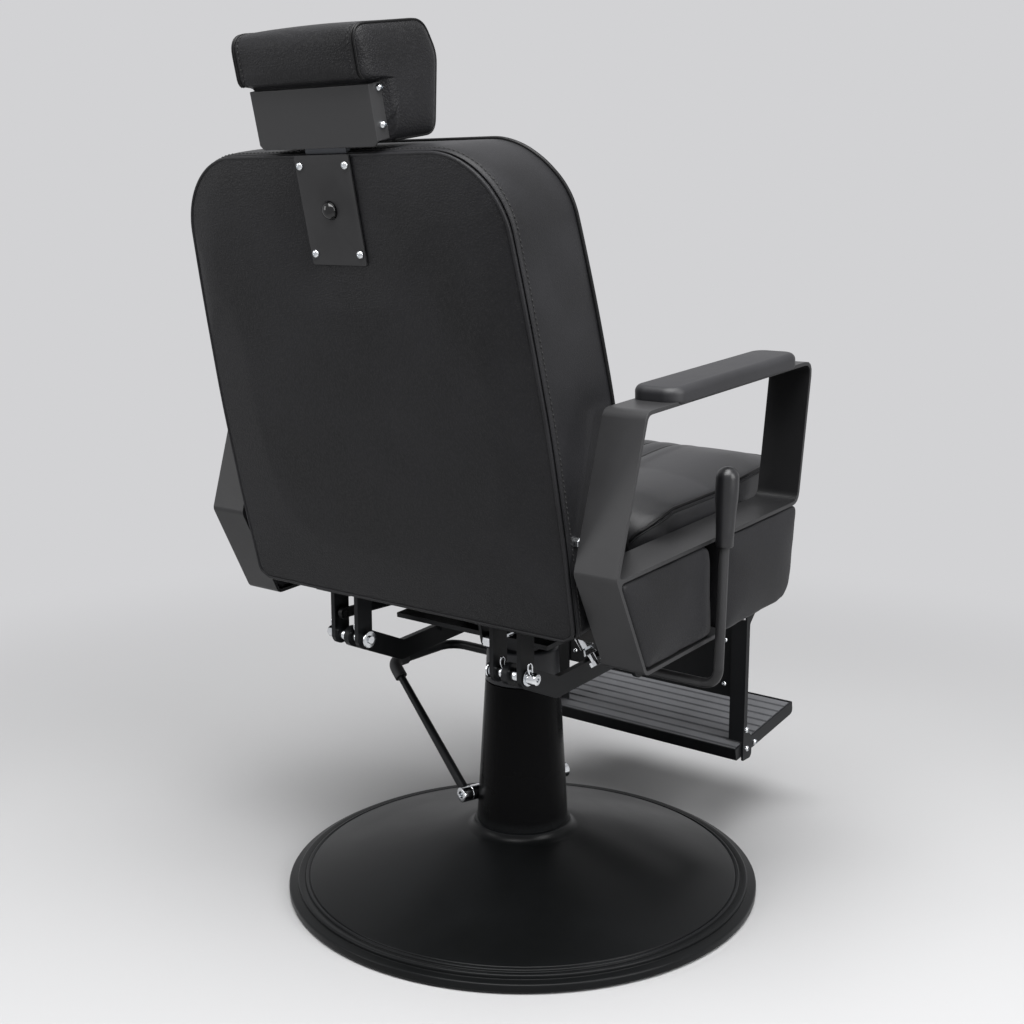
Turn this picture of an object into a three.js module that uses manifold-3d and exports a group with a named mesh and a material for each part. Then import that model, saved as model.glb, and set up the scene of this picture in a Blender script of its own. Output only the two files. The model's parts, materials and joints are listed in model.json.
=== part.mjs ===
// Hydraulic barber chair: round floor base, pump column, reclining back, headrest and footrest.
// Millimetres, +Z up. The origin is the centre of the base on the floor. The sitter faces -Y,
// so the sitter's right is -X and left is +X.
import * as THREE from 'three';
import { mergeVertices } from 'three/addons/utils/BufferGeometryUtils.js';
import Module from 'manifold-3d';

const wasm = await Module();
wasm.setup();

// ---------------------------------------------------------------- driving dimensions
const seatGap = 0.3; // between pieces that rest on each other
const runningGap = 0.5; // around pins, shafts and sliding rods

// floor base
const baseRadius = 310;
const rimWidth = 26; // stepped ring round the dome
const rimHeight = 20;
const basePlateThickness = 6;
const domeWall = 4;
const domeShoulder = 76; // height where the dome turns up into its neck
const domeFillet = 14;
const neckStep = 3; // beyond the column's foot
const domeTop = 88;

// pump column
const coverFootRadius = 60.4;
const coverWall = 2.5;
const columnTaper = 0.059; // radius lost for each millimetre of height
const collarHeight = 48; // above the cover
const collarWall = 3;
const cylinderRadius = 27;
const cylinderDrop = 10; // below the cover's top
const cylinderFloor = 60;
const ramRadius = 21.4;
const ramShoulder = 28; // below the collar's top
const spindleRadius = 12;

// foot pump lever
const shaftRadius = 10;
const shaftHeight = 120;
const shaftOffset = 38; // beside the cylinder
const shaftBearing = 72; // degrees from +X, the way the shaft's rear end points
const shaftRearReach = 73;
const shaftFrontReach = 98;
const leverLength = 221;
const leverRise = 39.5; // degrees above level
const leverSkew = 4.9; // degrees off square to the shaft
const leverFootRadius = 6.5;
const leverTipRadius = 5;
const sleeveRadius = 8.8;
const footBarRadius = 6.5;
const footBarReach = 125;
const footBarWidth = 140;
const footBarBend = 30;

// seat: measured in the seat's own frame, which tips back a little
const seatTilt = 4;
const seatHeight = 400; // origin of the seat's frame above the floor
const mountPlateThickness = 6;
const mountPlateTop = -22;
const mountPlateHalfLength = 110;
const mountFlangeDrop = 42;
const mountFlangeRear = 30;
const swivelBlockHalf = 38;
const swivelBlockHeight = 43.7; // on the column's centre line
const mountPlateBottom = mountPlateTop - mountPlateThickness;
const blockTop = seatHeight + mountPlateBottom;
const collarTop = blockTop - swivelBlockHeight - seatGap;
const coverTop = collarTop - collarHeight;
const cylinderTop = coverTop - cylinderDrop;
const ramTop = collarTop - ramShoulder;
const boardBottom = 8;
const boardThickness = 15;
const boardFront = -225;
const boardRear = 140;
const runnerInside = 20;
const runnerWidth = 25;
const runnerWall = 3;
const runnerFrontInset = 45; // from the board's ends
const runnerRearInset = 70;
const backHalfWidth = 247;
const armToBack = 10.5;
const armInner = backHalfWidth + armToBack;
const armToCushion = 8.5;
const cushionHalfWidth = armInner - armToCushion;
const cushionFront = -240;
const cushionRear = 90;
const cushionEdgeHeight = 149;
const cushionCrown = 13;
const cushionFrontRise = 5;
const channelPitch = 31.4;
const channelCount = 9;
const channelDepth = 5;

// arm frames: bent from flat bar, outline in (y, z) of the seat frame, either side of the back
const stripWidth = 55.4;
const stripThickness = 4.5;
const kneeY = 236;
const shelfTop = 122;
const armTop = 289;
const armRearY = 173;
const armFrontY = -191;
const shelfFrontY = -155;
const footBend = 18; // outer radius, front upright to shelf
const loopBottom = 3;
const loopFrontY = -134;
const loopRearY = 187;
const padRearEdge = 48; // the two side pads stop either side of the recline lever
const padFrontEdge = 22;
const padCrown = 4;
const armPadRear = 128;
const armPadFront = -157;
const armPadThickness = 20;
const armPadOverhang = 4;
const armPadLip = 4; // hangs over the edges of the strip

// recline hinge, side rails and release lever, in the seat frame
const hingeY = 187;
const hingeZ = -31;
const railBendY = 103;
const railDrop = -75;
const railFront = -300;
const railHalfDepth = 13;
const railInside = 122;
const railThickness = 8;
const pinRadius = 5;
const strapThickness = 6;
const strapHalfWidth = 13;
const strapInside = 105;
const strapOutside = 151;
const pinOuterEnd = 166;
const pinInnerEnd = 94;
const leverPivotY = 62;
const leverPivotZ = -46;
const leverOutside = 69.5; // beyond the arm frame's inner face
const leverX = -armInner - leverOutside;
const hangerInset = 36; // hanger's distance inside the arm frame
const leverInnerX = hangerInset + 10.5 - armInner;
const leverRodRadius = 5.75;
const leverBend = 30;
const gripStart = 161; // up the lever from its shaft
const gripLength = 91;
const gripTopRadius = 13;
const gripFootRadius = 10;
const leverLean = -6; // degrees, from the seat's own upright

// adjusting screw under the seat board
const stopToArm = 74.5;
const stopX = stopToArm - armInner;
const stopInset = 14; // from the board's rear edge
const stopTilt = 34; // degrees, foot outwards
const stopLength = 39;

// gas spring under the seat board
const gasX = 21 - strapInside;
const gasFrontY = -95;
const gasFrontZ = -10;
const gasRadius = 9;
const gasLength = 165;
const gasRodRadius = 4;
const gasPinRadius = 4;
const gasEyeRadius = 8;
const gasEyeHalf = 7;
const gasRearEyeHole = 6.5; // loose on its pin, so that the spring follows the back's arc
const gasRearY = -24.5; // from the hinge, in the back's frame
const gasRearZ = 23;

// back: measured from the recline hinge, in the back's own frame
const backRake = 8.7; // beyond the seat's tilt
const backBottom = 73;
const backLength = 528;
const backRearFace = 27;
const backDepth = 124;
const backTopCorner = 70;
const panelThickness = 22;
const backCrown = 12;
const backSideBow = [[0, 1], [0.2, 1.014], [0.45, 1.012], [0.69, 0.984], [0.87, 0.947], [1, 0.92]];
const backDepths = [
  [0, 0.96], [0.04, 1], [0.15, 1.04], [0.35, 1.08],
  [0.6, 1.06], [0.85, 1.02], [0.95, 0.98], [1, 0.9],
];
const bracketWeb = 6;

// headrest: heights are from the top of the back
const tongueHalfWidth = 30;
const tongueThickness = 6.5;
const tongueSetback = 6.5; // behind the plate
const tongueBottom = -183;
const headrestTravel = 100;
const plateHalfWidth = 40;
const plateThickness = 2;
const plateBottom = -117;
const screwSpanX = 33.3;
const screwLow = -105;
const screwHigh = -11;
const screwRadius = 4.5;
const screwShank = 2;
const buttonHeight = -58;
const buttonRadius = 10;
const buttonStem = 4;
const buttonTravel = 4;
const headHalfWidth = 94;
const bracketHalfWidth = 86.7;
const headBracketBottom = 7;
const headBracketTop = 68.5;
const headBracketWall = 3;
const headBracketTab = 19;
const bracketChamfer = 5;

// footrest: measured from its hinge, upright
const legHalfSpan = 165;
const legWall = 3;
const legRear = 10.5;
const legDepth = 9; // of the side flange
const legLugDepth = 24; // at the hinge and at the tray
const legFlange = 24;
const legTop = 38;
const legBottom = -231;
const trayLugHeight = 46;
const lugTaper = 16; // height over which a lug narrows to the side flange
const calfTop = -26;
const calfBottom = -142;
const trayLength = 167;
const trayThickness = 17;
const trayTilt = 9.5;
const trayRear = 13; // behind the legs
const treadBase = 1.5;
const ribHeight = 2.5;
const ribPitch = 17.5;
const ribWidth = 13.5;
const linkRise = 28; // link pivots above the recline and footrest hinges
const linkInside = 136;
const linkThickness = 6;
const linkHalfDepth = 6;
const linkPinRadius = 4;

// ---------------------------------------------------------------- finishes
const finish = (color, roughness, metalness) =>
  new THREE.MeshStandardMaterial({ color, roughness, metalness });
const leather = finish(0x1d1d1f, 0.55, 0);
const powderCoat = finish(0x17181a, 0.45, 0.3);
const darkSteel = finish(0x3a3b3e, 0.4, 0.8);
const greyCollar = finish(0x2c2d30, 0.4, 0.5);
const chrome = finish(0xd8dadd, 0.12, 1);
const blackPlastic = finish(0x141416, 0.35, 0);
const rubber = finish(0x242426, 0.75, 0);
const tread = finish(0x636467, 0.7, 0);
const plywood = finish(0xa98457, 0.7, 0);

// ---------------------------------------------------------------- shaping helpers
const radians = THREE.MathUtils.degToRad;
const point = (x, y, z) => new THREE.Vector3(x, y, z);

function solid(geometry) {
  const bare = geometry.clone();
  bare.deleteAttribute('normal');
  bare.deleteAttribute('uv');
  const welded = mergeVertices(bare, 1e-4);
  const vertProperties = new Float32Array(welded.attributes.position.array);
  const triVerts = new Uint32Array(welded.index.array);
  return new wasm.Manifold(new wasm.Mesh({ numProp: 3, vertProperties, triVerts }));
}

function piece(name, body, material, parent) {
  const { vertProperties, triVerts } = body.getMesh();
  const geometry = new THREE.BufferGeometry();
  geometry.setAttribute('position', new THREE.BufferAttribute(vertProperties, 3));
  geometry.setIndex(new THREE.BufferAttribute(triVerts, 1));
  geometry.computeVertexNormals();
  const mesh = new THREE.Mesh(geometry, material);
  mesh.name = name;
  parent.add(mesh);
}

const join = (...bodies) => bodies.reduce((whole, body) => whole.add(body));
const cut = (body, ...tools) => tools.reduce((rest, tool) => rest.subtract(tool), body);

function box(x0, x1, y0, y1, z0, z1) {
  const geometry = new THREE.BoxGeometry(x1 - x0, y1 - y0, z1 - z0);
  return solid(geometry.translate((x0 + x1) / 2, (y0 + y1) / 2, (z0 + z1) / 2));
}

// a value read off a table of [position, value]
function lookUp(table, at) {
  const next = Math.max(1, table.findIndex(([position]) => position >= at));
  const [[p0, v0], [p1, v1]] = at >= 1 ? table.slice(-2) : [table[next - 1], table[next]];
  return THREE.MathUtils.lerp(v0, v1, THREE.MathUtils.clamp((at - p0) / (p1 - p0), 0, 1));
}

// a round bar from one point to another, tapering if the end radius differs
function rod(radius, from, to, sides = 16, endRadius = radius) {
  const along = to.clone().sub(from);
  const geometry = new THREE.CylinderGeometry(endRadius, radius, along.length(), sides);
  const turn = new THREE.Quaternion().setFromUnitVectors(point(0, 1, 0), along.clone().normalize());
  const middle = from.clone().add(to).multiplyScalar(0.5);
  return solid(geometry.applyQuaternion(turn).translate(middle.x, middle.y, middle.z));
}

// the x range between two distances from the middle, on one side of the chair
const sided = (side, near, far) => (side > 0 ? [near, far] : [-far, -near]);

// a pin across the chair
const crossRod = (radius, x0, x1, y, z, sides = 12) => rod(radius, point(x0, y, z), point(x1, y, z), sides);

// a profile of [radius, height] turned about the vertical axis
function turned(profile, sides) {
  const points = profile.map(([r, z]) => new THREE.Vector2(r, z));
  return solid(new THREE.LatheGeometry(points, sides).rotateX(Math.PI / 2));
}

// an outline of [a, b, corner radius], drawn with its corners rounded
function roundedShape(corners, Kind = THREE.Shape) {
  const shape = new Kind();
  corners.forEach(([a, b, radius = 0], i) => {
    const corner = new THREE.Vector2(a, b);
    const before = corners[(i + corners.length - 1) % corners.length];
    const after = corners[(i + 1) % corners.length];
    const back = new THREE.Vector2(before[0] - a, before[1] - b);
    const ahead = new THREE.Vector2(after[0] - a, after[1] - b);
    const half = Math.abs(back.angleTo(ahead)) / 2;
    const reach = Math.min(radius / Math.tan(half), 0.49 * back.length(), 0.49 * ahead.length());
    const start = radius > 0 ? back.setLength(reach).add(corner) : corner;
    const end = ahead.setLength(reach).add(corner);
    if (i === 0) shape.moveTo(start.x, start.y);
    else shape.lineTo(start.x, start.y);
    if (radius > 0) shape.quadraticCurveTo(a, b, end.x, end.y);
  });
  shape.closePath();
  return shape;
}

// the same outline drawn in by a wall's thickness; corners run anticlockwise
function inset(corners, wall) {
  return corners.map(([a, b, radius = 0], i) => {
    const before = corners[(i + corners.length - 1) % corners.length];
    const after = corners[(i + 1) % corners.length];
    const u = new THREE.Vector2(a - before[0], b - before[1]).normalize();
    const v = new THREE.Vector2(after[0] - a, after[1] - b).normalize();
    const bisector = new THREE.Vector2(-u.y - v.y, u.x + v.x).normalize();
    const reach = wall / bisector.dot(new THREE.Vector2(-u.y, u.x));
    return [a + bisector.x * reach, b + bisector.y * reach, Math.max(radius - wall, 0.5)];
  });
}

// plates cut from an outline: in (y, z) along x, in (x, y) along z, in (x, z) along y
function plate(corners, from, to, basis, holes = [], curveSegments = 4) {
  const shape = roundedShape(corners);
  shape.holes = holes.map((hole) => roundedShape(hole, THREE.Path));
  const settings = { depth: to - from, bevelEnabled: false, curveSegments };
  const geometry = new THREE.ExtrudeGeometry(shape, settings);
  geometry.translate(0, 0, from);
  return solid(geometry.applyMatrix4(new THREE.Matrix4().makeBasis(...basis)));
}
const acrossX = [point(0, 1, 0), point(0, 0, 1), point(1, 0, 0)];
const acrossZ = [point(1, 0, 0), point(0, 1, 0), point(0, 0, 1)];
const plateX = (corners, x0, x1, holes) => plate(corners, x0, x1, acrossX, holes);
const plateZ = (corners, z0, z1) => plate(corners, z0, z1, acrossZ);
// (x, z) outlines run along -y, so the extrusion is turned to start at the rear
const acrossY = [point(1, 0, 0), point(0, 0, 1), point(0, -1, 0)];
const plateY = (corners, y0, y1) => plate(corners, -y1, -y0, acrossY);

// a flat bar with round ends and a hole in each
function linkBar(from, to, halfDepth, x0, x1, holeRadius, endRadius = halfDepth) {
  const along = new THREE.Vector2(to[0] - from[0], to[1] - from[1]).normalize();
  const side = [-along.y * halfDepth, along.x * halfDepth];
  const bar = plateX([
    [from[0] - side[0], from[1] - side[1]],
    [to[0] - side[0], to[1] - side[1]],
    [to[0] + side[0], to[1] + side[1]],
    [from[0] + side[0], from[1] + side[1]],
  ], x0, x1);
  const ends = [from, to].map(([y, z]) => crossRod(endRadius, x0, x1, y, z, 16));
  const holes = [from, to].map(([y, z]) => crossRod(holeRadius, x0 - 1, x1 + 1, y, z));
  return cut(join(bar, ...ends), ...holes);
}

// skin over a row of rings that all have the same number of points, closed at both ends
function loft(rings) {
  const count = rings[0].length;
  const middle = (ring) => ring.reduce((sum, p) => sum.add(p), point(0, 0, 0)).multiplyScalar(1 / count);
  const points = [...rings.flat(), middle(rings[0]), middle(rings[rings.length - 1])];
  const index = [];
  rings.slice(1).forEach((_, r) => {
    for (let i = 0; i < count; i += 1) {
      const j = (i + 1) % count;
      const [a, b, c, d] = [r * count + i, r * count + j, (r + 1) * count + j, (r + 1) * count + i];
      index.push(a, b, c, a, c, d);
    }
  });
  const first = points.length - 2;
  const last = (rings.length - 1) * count;
  for (let i = 0; i < count; i += 1) {
    const j = (i + 1) % count;
    index.push(first, j, i);
    index.push(first + 1, last + i, last + j);
  }
  const skin = (order) => solid(new THREE.BufferGeometry().setFromPoints(points).setIndex(order));
  const body = skin(index);
  return body.volume() > 0 ? body : skin(index.slice().reverse());
}

// a padded slab: an outline stacked in layers of [inset, height], each drawn in a little mid-side
function padded(corners, layers, place, drawIn = 0, curveSegments = 3) {
  const full = [];
  corners.forEach(([a, b, radius], i) => {
    const [nextA, nextB] = corners[(i + 1) % corners.length];
    const length = Math.hypot(nextA - a, nextB - b);
    const inward = [-(nextB - b) / length * drawIn, (nextA - a) / length * drawIn];
    full.push([a, b, radius]);
    full.push([(a + nextA) / 2 + inward[0], (b + nextB) / 2 + inward[1]]);
  });
  const outline = roundedShape(full).extractPoints(curveSegments).shape;
  const loop = outline.filter((p, i) => p.distanceTo(outline[(i + 1) % outline.length]) > 1e-3);
  const bounds = new THREE.Box2().setFromPoints(loop);
  const centre = bounds.getCenter(new THREE.Vector2());
  const half = bounds.getSize(new THREE.Vector2()).multiplyScalar(0.5);
  const rings = layers.map(([by, height]) => loop.map((p) => place(
    centre.x + (p.x - centre.x) * (1 - by / half.x),
    centre.y + (p.y - centre.y) * (1 - by / half.y),
    height,
  )));
  return loft(rings);
}

// a round bar bent through a few points: rings at its ends and round each bend
function bentBar(radius, points, bend, sides = 12) {
  const stops = [points[0]];
  points.slice(1, -1).forEach((corner, i) => {
    const enter = corner.clone().add(points[i].clone().sub(corner).setLength(bend));
    const leave = corner.clone().add(points[i + 2].clone().sub(corner).setLength(bend));
    const curve = new THREE.QuadraticBezierCurve3(enter, corner, leave);
    stops.push(...curve.getPoints(6));
  });
  stops.push(points[points.length - 1]);
  const heading = (i) => stops[Math.min(i + 1, stops.length - 1)].clone()
    .sub(stops[Math.max(i - 1, 0)]).normalize();
  let along = heading(0);
  let side = point(-along.y, along.x, 0.3).cross(along).normalize();
  const rings = stops.map((stop, i) => {
    const turn = new THREE.Quaternion().setFromUnitVectors(along, heading(i));
    along = heading(i);
    side = side.clone().applyQuaternion(turn);
    const across = along.clone().cross(side);
    return Array.from({ length: sides }, (_, k) => stop.clone()
      .addScaledVector(side, radius * Math.cos((2 * Math.PI * k) / sides))
      .addScaledVector(across, radius * Math.sin((2 * Math.PI * k) / sides)));
  });
  return loft(rings);
}

// ---------------------------------------------------------------- floor base
const chair = new THREE.Group();
chair.name = 'barber_chair';

const rimInnerRadius = baseRadius - rimWidth;
const plateRadius = baseRadius - 14;
const neckRadius = coverFootRadius + neckStep;

function floorBase() {
  const disc = rod(plateRadius, point(0, 0, 0), point(0, 0, basePlateThickness), 40);
  piece('base_plate', disc, darkSteel, chair);

  const seat = basePlateThickness + seatGap;
  const skirt = plateRadius + 1;
  piece('base_rim_ring', turned([
    [rimInnerRadius, seat],
    [skirt, seat],
    [skirt, 1.5],
    [baseRadius - 3, 1.5],
    [baseRadius, 4.5],
    [baseRadius, 0.5 * rimHeight],
    [baseRadius - 4, 0.68 * rimHeight],
    [baseRadius - 11, 0.72 * rimHeight],
    [baseRadius - 13, 0.85 * rimHeight],
    [baseRadius - 20, 0.9 * rimHeight],
    [baseRadius - 22, rimHeight],
    [rimInnerRadius, rimHeight],
    [rimInnerRadius, seat],
  ], 40), powderCoat, chair);

  const edge = rimInnerRadius - seatGap;
  const filletStart = neckRadius + domeFillet;
  const slope = (t) => [
    THREE.MathUtils.lerp(edge - 3, filletStart, t),
    THREE.MathUtils.lerp(rimHeight + 1, domeShoulder, t),
  ];
  const fillet = (angle, wall) => [
    neckRadius + domeFillet - (domeFillet + wall) * Math.sin(angle),
    domeTop - (domeTop - domeShoulder + wall) * Math.cos(angle),
  ];
  const turns = [22, 44, 68].map(radians);
  const outside = [0, 1].map(slope).concat(turns.map((a) => fillet(a, 0)));
  const inside = fillet(turns[1], domeWall);
  piece('base_dome', turned([
    [edge, seat],
    [edge, rimHeight - 1],
    ...outside,
    [neckRadius, domeTop - 3],
    [neckRadius - 2, domeTop],
    [coverFootRadius - 10, domeTop],
    [coverFootRadius - 10, domeTop - domeWall],
    inside,
    [filletStart, domeShoulder - domeWall],
    [edge - domeWall, rimHeight - 1 - domeWall],
    [edge - domeWall, seat],
    [edge, seat],
  ], 40), powderCoat, chair);
}

// ---------------------------------------------------------------- pump column and lever
const columnRadius = (z) => coverFootRadius - columnTaper * (z - domeTop);
const shaftAngle = radians(shaftBearing);
const shaftAlong = point(Math.cos(shaftAngle), Math.sin(shaftAngle), 0);
const shaftOut = point(Math.sin(shaftAngle), -Math.cos(shaftAngle), 0);
const shaftMiddle = shaftOut.clone().multiplyScalar(shaftOffset).setZ(shaftHeight);
const onShaft = (reach) => shaftMiddle.clone().addScaledVector(shaftAlong, reach);

function pumpColumn() {
  const foot = domeTop + seatGap;
  const shaftHole = rod(shaftRadius + 1, onShaft(-shaftFrontReach), onShaft(shaftRearReach), 14);
  const cover = turned([
    [columnRadius(foot), foot],
    [columnRadius(coverTop - 2), coverTop - 2],
    [columnRadius(coverTop) - 1, coverTop],
    [columnRadius(coverTop) - coverWall, coverTop],
    [columnRadius(foot) - coverWall, foot],
    [columnRadius(foot), foot],
  ], 32);
  piece('column_cover', cut(cover, shaftHole), powderCoat, chair);

  const floor = basePlateThickness + seatGap;
  const bore = ramRadius + runningGap + 0.1;
  const barrel = turned([
    [0, floor],
    [cylinderRadius + 17, floor],
    [cylinderRadius + 17, floor + 8],
    [cylinderRadius, floor + 8],
    [cylinderRadius, cylinderTop],
    [bore, cylinderTop],
    [bore, cylinderFloor],
    [0, cylinderFloor],
  ], 24);
  const bossHalf = 12;
  const boss = rod(shaftRadius + 4, onShaft(-bossHalf), onShaft(bossHalf), 24);
  const bossBore = rod(shaftRadius + runningGap, onShaft(-bossHalf - 1), onShaft(bossHalf + 1), 24);
  piece('pump_cylinder', cut(join(barrel, boss), bossBore), darkSteel, chair);

  piece('cylinder_gland', turned([
    [bore, cylinderTop + seatGap],
    [cylinderRadius, cylinderTop + seatGap],
    [cylinderRadius, coverTop - 2],
    [bore, coverTop - 2],
    [bore, cylinderTop + seatGap],
  ], 24), rubber, chair);

  piece('hydraulic_ram', turned([
    [0, cylinderFloor + 6],
    [ramRadius, cylinderFloor + 6],
    [ramRadius, ramTop],
    [spindleRadius, ramTop],
    [spindleRadius, collarTop - 1],
    [0, collarTop - 1],
  ], 24), chrome, chair);
}

function pumpLever() {
  const endHole = rod(shaftRadius - 5.5, onShaft(shaftRearReach - 12), onShaft(shaftRearReach + 1), 16);
  const shaft = rod(shaftRadius, onShaft(-shaftFrontReach), onShaft(shaftRearReach), 24);
  piece('pump_shaft', cut(shaft, endHole), chrome, chair);

  const foot = onShaft(shaftRearReach - leverFootRadius - 3);
  const rise = radians(leverRise);
  const along = shaftOut.clone().applyAxisAngle(point(0, 0, 1), radians(leverSkew));
  along.multiplyScalar(Math.cos(rise)).setZ(Math.sin(rise));
  const elbow = foot.clone().addScaledVector(along, leverLength);
  const lever = rod(leverFootRadius, foot, elbow.clone().addScaledVector(along, -2), 14, leverTipRadius);
  const seatCut = rod(shaftRadius + seatGap, onShaft(-shaftFrontReach), onShaft(shaftRearReach + 1), 24);
  piece('pump_lever_arm', cut(lever, seatCut), powderCoat, chair);

  const corner = elbow.clone().add(point(0, -footBarReach, 0));
  const end = corner.clone().add(point(-footBarWidth, 0, 0));
  const barStart = elbow.clone().add(point(0, -leverTipRadius - 4, 0));
  piece('foot_bar', bentBar(footBarRadius, [barStart, corner, end], footBarBend), powderCoat, chair);

  const sleeveReach = 26;
  const sleeve = bentBar(sleeveRadius, [
    elbow.clone().addScaledVector(along, -sleeveReach),
    elbow,
    elbow.clone().add(point(0, -sleeveReach, 0)),
  ], 12);
  const armBore = rod(leverTipRadius + 0.8, foot, elbow.clone().addScaledVector(along, -1.5), 14);
  const boreStart = barStart.clone().add(point(0, 0.4, 0));
  const barBore = rod(footBarRadius + seatGap + 0.2, boreStart, corner, 14);
  piece('lever_elbow_sleeve', cut(sleeve, armBore, barBore), rubber, chair);
}

// ---------------------------------------------------------------- seat
const mountHalfWidth = railInside - seatGap;
const boardTop = boardBottom + boardThickness;

const seat = new THREE.Group();
seat.position.z = seatHeight;
seat.rotation.x = -radians(seatTilt);
chair.add(seat);

function swivelHead() {
  const top = columnRadius(collarTop);
  const foot = coverTop + 0.6;
  const hub = ramTop + seatGap;
  piece('swivel_collar', turned([
    [spindleRadius + runningGap, hub],
    [ramRadius - 1, hub],
    [ramRadius - 1, collarTop - 8],
    [top - collarWall, collarTop - 8],
    [columnRadius(foot) - collarWall, foot],
    [columnRadius(foot), foot],
    [top + 0.5, collarTop - 8],
    [top - 2, collarTop - 2.5],
    [top - 6, collarTop],
    [spindleRadius + runningGap, collarTop],
    [spindleRadius + runningGap, hub],
  ], 32), greyCollar, chair);

  const b = swivelBlockHalf;
  const square = [[-b, -b, 12], [b, -b, 12], [b, b, 12], [-b, b, 12]];
  const block = plateZ(square, collarTop + seatGap, blockTop + b);
  const underside = mountPlateBottom - seatGap;
  const above = box(-2 * b, 2 * b, -2 * b, 2 * b, underside, underside + 3 * b);
  seat.updateMatrixWorld(true);
  piece('swivel_block', cut(block, above.transform(seat.matrixWorld.elements)), powderCoat, chair);
}

function seatFrame() {
  const w = mountHalfWidth;
  const l = mountPlateHalfLength;
  const flange = 4;
  const r = gasEyeRadius;
  const ear = (x0, x1) => join(
    crossRod(r, x0, x1, gasFrontY, gasFrontZ, 20),
    box(x0, x1, gasFrontY - r, gasFrontY + r, mountPlateTop - 1, gasFrontZ),
  );
  const earInner = gasEyeHalf + seatGap;
  const earOuter = gasEyeHalf + 4;
  piece('seat_mount_plate', join(
    box(-w, w, -l, l, mountPlateBottom, mountPlateTop),
    box(-w, flange - w, -l, mountFlangeRear, mountPlateBottom - mountFlangeDrop, mountPlateTop),
    box(w - flange, w, -l, mountFlangeRear, mountPlateBottom - mountFlangeDrop, mountPlateTop),
    ear(gasX - earOuter, gasX - earInner),
    ear(gasX + earInner, gasX + earOuter),
    crossRod(gasPinRadius, gasX - earOuter, gasX + earOuter, gasFrontY, gasFrontZ),
  ), powderCoat, seat);

  const inner = armInner - seatGap;
  const nose = cushionHalfWidth - 4;
  piece('seat_board', plateZ([
    [-nose, boardFront, 20],
    [nose, boardFront, 20],
    [nose, shelfFrontY + 20],
    [inner, shelfFrontY + 30],
    [inner, boardRear],
    [-inner, boardRear],
    [-inner, shelfFrontY + 30],
    [-nose, shelfFrontY + 20],
  ], boardBottom, boardTop), plywood, seat);

  for (const [side, name] of [[1, 'left'], [-1, 'right']]) {
    const [x0, x1] = sided(side, runnerInside, runnerInside + runnerWidth);
    const [z0, z1] = [mountPlateTop + seatGap, boardBottom - seatGap];
    const rear = boardRear - runnerRearInset;
    const front = boardFront + runnerFrontInset;
    const tube = box(x0, x1, front, rear, z0, z1);
    const wall = runnerWall;
    const hollow = box(x0 + wall, x1 - wall, front - 1, rear + 1, z0 + wall, z1 - wall);
    piece(`seat_runner_${name}`, cut(tube, hollow), powderCoat, seat);
  }
}

// a cushion is a row of rings across the chair: low at each seam, proud between two
const quilted = (channelPitch * channelCount) / 2;
const wave = (x) => Math.sqrt(Math.abs(Math.cos((Math.PI * x) / channelPitch)));
const puff = (x) => (Math.abs(x) < quilted ? wave(x) : 1);
const cornerInset = (x, halfWidth, radius) => {
  const past = Math.max(Math.abs(x) - (halfWidth - radius), 0);
  return radius - Math.sqrt(radius ** 2 - past ** 2);
};

// [x, how far the ring has shrunk towards the rounded edge]
function quiltStations(w, rounding) {
  const edge = [[w, rounding], [w - 1.5, 0.4 * rounding], [w - 6, 0], [w - 35, 0], [quilted + 12, 0]];
  const stations = edge.map(([x, shrink]) => [-x, shrink]);
  for (let i = 0; i <= channelCount; i += 1) {
    const seam = -quilted + i * channelPitch;
    stations.push([seam, 0]);
    if (i < channelCount) [0.22, 0.78].forEach((t) => stations.push([seam + t * channelPitch, 0]));
  }
  return [...stations, ...edge.reverse()];
}

function seatCushion() {
  const w = cushionHalfWidth;
  const middle = (cushionFront + cushionRear) / 2;
  const halfLength = (cushionRear - cushionFront) / 2;
  const bottom = boardTop + seatGap;
  const edge = 10;
  const station = (x, shrink) => {
    const across = 1 - (x / w) ** 2;
    const front = cushionFront + shrink + cornerInset(x, w, 36) + 3 * across;
    const rear = cushionRear - shrink - cornerInset(x, w, 45) - 3 * across;
    const top = (t) => {
      const y = THREE.MathUtils.lerp(front + edge, rear - 3 * edge, t);
      const along = (y - middle) / halfLength;
      const crown = cushionCrown * across * (1 - along ** 4) - cushionFrontRise * along;
      const channel = channelDepth * (puff(x) - 0.4) * Math.sqrt(across);
      return point(x, y, cushionEdgeHeight - shrink + crown + channel);
    };
    const start = top(0);
    const stop = top(1);
    return [
      point(x, rear, bottom),
      point(x, middle, bottom),
      point(x, front, bottom),
      point(x, front - 2, 0.6 * bottom + 0.4 * start.z),
      point(x, front, start.z - edge),
      point(x, front + 0.3 * edge, start.z - 0.3 * edge),
      ...[0, 0.2, 0.45, 0.7, 0.88, 1].map(top),
      point(x, rear - 1.2 * edge, stop.z - 0.8 * edge),
      point(x, rear - 0.2 * edge, stop.z - 2.4 * edge),
      point(x, rear + 1, 0.6 * bottom + 0.4 * stop.z),
    ];
  };
  piece('seat_cushion', loft(quiltStations(w, 8).map(([x, shrink]) => station(x, shrink))), leather, seat);
}

// ---------------------------------------------------------------- arm frames, side pads, arm pads
const rearLean = (kneeY - armRearY) / (armTop - shelfTop);
const shelfUnder = shelfTop - stripThickness;
const upperLoop = [
  [kneeY + rearLean * stripThickness, shelfUnder, 10],
  [armRearY, armTop, 14],
  [armFrontY, armTop, 16],
  [shelfFrontY, shelfUnder, footBend],
];
const lowerLoop = [
  [kneeY, shelfTop, 10],
  [shelfFrontY, shelfTop],
  [loopFrontY, loopBottom],
  [loopRearY, loopBottom, 10],
];

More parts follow.
